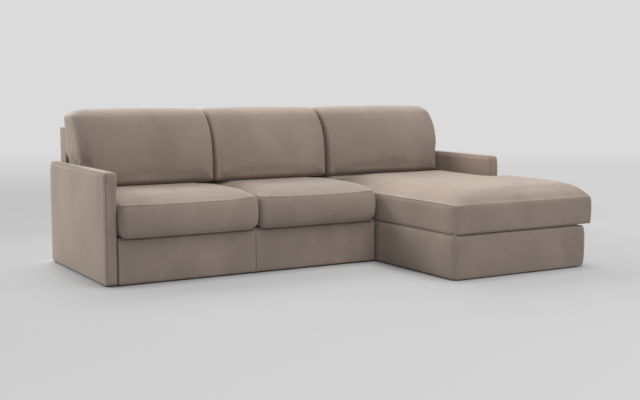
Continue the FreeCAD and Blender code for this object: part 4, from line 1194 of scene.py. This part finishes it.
def floor():
    """A pale studio floor with a painted soft shadow as a greyer band in the middle distance and painted
    light brighter to one side, that fades into the backdrop far behind.
    """
    made, tree, shader = finish("studio_floor", 0.5, Specular_IOR_Level=0.25)
    shader.inputs["Base Color"].default_value = colour(181, 181, 181)
    place = own_place(tree)
    seats_low, seats_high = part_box("arm_left_cover")[0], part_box("arm_right_cover")[1]
    foot_low, foot_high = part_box("chaise_cover")
    away = maths(tree, "MINIMUM", beyond(tree, place, seats_low[:2], seats_high[:2]),
                 beyond(tree, place, foot_low[:2], foot_high[:2]))
    contact, shadow = 0.13, 1.3
    close = stretch(tree, away, 0.0, contact, 0.0, 0.58)
    open_floor = stretch(tree, away, contact, shadow, 0.0, 0.42)
    view_depth, view_right = (0.506, 0.863, 0), (0.863, -0.506, 0)
    depth = vectors(tree, "DOT_PRODUCT", place, view_depth, 1)
    near, far = -3.0, 11.0
    # painted soft shadow: the glow is greyer around and behind the sofa, paler in front and far away
    ramp = node(tree, "ShaderNodeValToRGB", Fac=stretch(tree, depth, near, far))
    painted_shadow_greys = ((-3.0, 211), (-1.5, 208), (-0.9, 205), (-0.2, 202), (0.6, 203), (1.8, 204), (2.6, 202),
             (3.9, 203), (5.4, 207), (6.8, 210), (8.4, 214), (10.6, 219))
    band = ramp.color_ramp.elements
    while len(band) < len(painted_shadow_greys):
        band.new(0.5)
    for stop, (distance, grey) in zip(band, painted_shadow_greys):
        stop.position = (distance - near) / (far - near)
        stop.color = colour(grey, grey, grey)
    # painted light: the glow is a little brighter towards the right of the view, fading out far away
    aside = stretch(tree, vectors(tree, "DOT_PRODUCT", place, view_right, 1), -2.6, 2.6, -0.085, 0.085)
    painted_side_light = maths(tree, "MULTIPLY", aside, stretch(tree, depth, 4.0, 7.0, 1.0, 0.0))
    strength = maths(tree, "ADD", painted_side_light, 1.0)
    glow = node(tree, "ShaderNodeEmission", Color=ramp.outputs[0], Strength=strength)
    seen = node(tree, "ShaderNodeLightPath").outputs["Is Camera Ray"]
    share = maths(tree, "MULTIPLY", maths(tree, "ADD", close, open_floor), seen)
    feed(tree.nodes["Material Output"].inputs["Surface"], blended(tree, share, shader, glow))
    reach = 60.0
    mesh = mesh_of("studio_floor", [(-reach, -reach, 0), (reach, -reach, 0), (reach, reach, 0),
                                    (-reach, reach, 0)], [(0, 1, 2, 3)])
    mesh.materials.append(made)
    set_out("studio_floor", mesh)


def backdrop():
    """The world: soft fill light, and a pale grey field behind the sofa."""
    world = bpy.data.worlds.new("studio")
    world.use_nodes = True
    tree = world.node_tree
    tree.nodes.clear()
    fill = node(tree, "ShaderNodeBackground", Color=(0.92, 0.95, 1.0, 1), Strength=0.29)
    field = node(tree, "ShaderNodeBackground", Color=colour(219, 219, 219), Strength=1.0)
    path = node(tree, "ShaderNodeLightPath").outputs
    seen = maths(tree, "MAXIMUM", path["Is Camera Ray"], path["Is Glossy Ray"])
    node(tree, "ShaderNodeOutputWorld", Surface=blended(tree, seen, fill, field))
    bpy.context.scene.world = world


def lamp(name, place, target, width, depth, power):
    """A rectangular softbox at a place, turned to a target."""
    light = bpy.data.lights.new(name, "AREA")
    light.shape = "RECTANGLE"
    light.size = width
    light.size_y = depth
    light.energy = power
    item = set_out(name, light)
    item.location = place
    item.rotation_euler = (Vector(target) - Vector(place)).to_track_quat("-Z", "Y").to_euler()


floor()
backdrop()
lamp("overhead_softbox", (1.2, -1.8, 4.2), (0.6, -0.4, 0), 3.0, 2.5, 112)
lamp("left_rear_softbox", (-4.6, 3.4, 2.6), (-0.5, 0.3, 0.3), 3.0, 2.4, 177)
lamp("front_fill", (-1.5, -7.0, 2.2), (0, 0, 0.3), 6.0, 3.0, 68)
lamp("rear_softbox", (0.3, 3.6, 3.8), (0, 0, 0.3), 5.0, 2.5, 228)

camera = bpy.data.cameras.new("studio_camera")
camera.sensor_width = 36.0
camera.lens = 59.45
camera_item = set_out("studio_camera", camera)
camera_item.location = placed((-1776.4, -5224.9, 1050.7)).tolist()
camera_item.rotation_euler = (math.radians(90 - 6.24), 0, math.radians(-30.39))
bpy.context.scene.camera = camera_item
bpy.context.scene.view_settings.view_transform = "Standard"
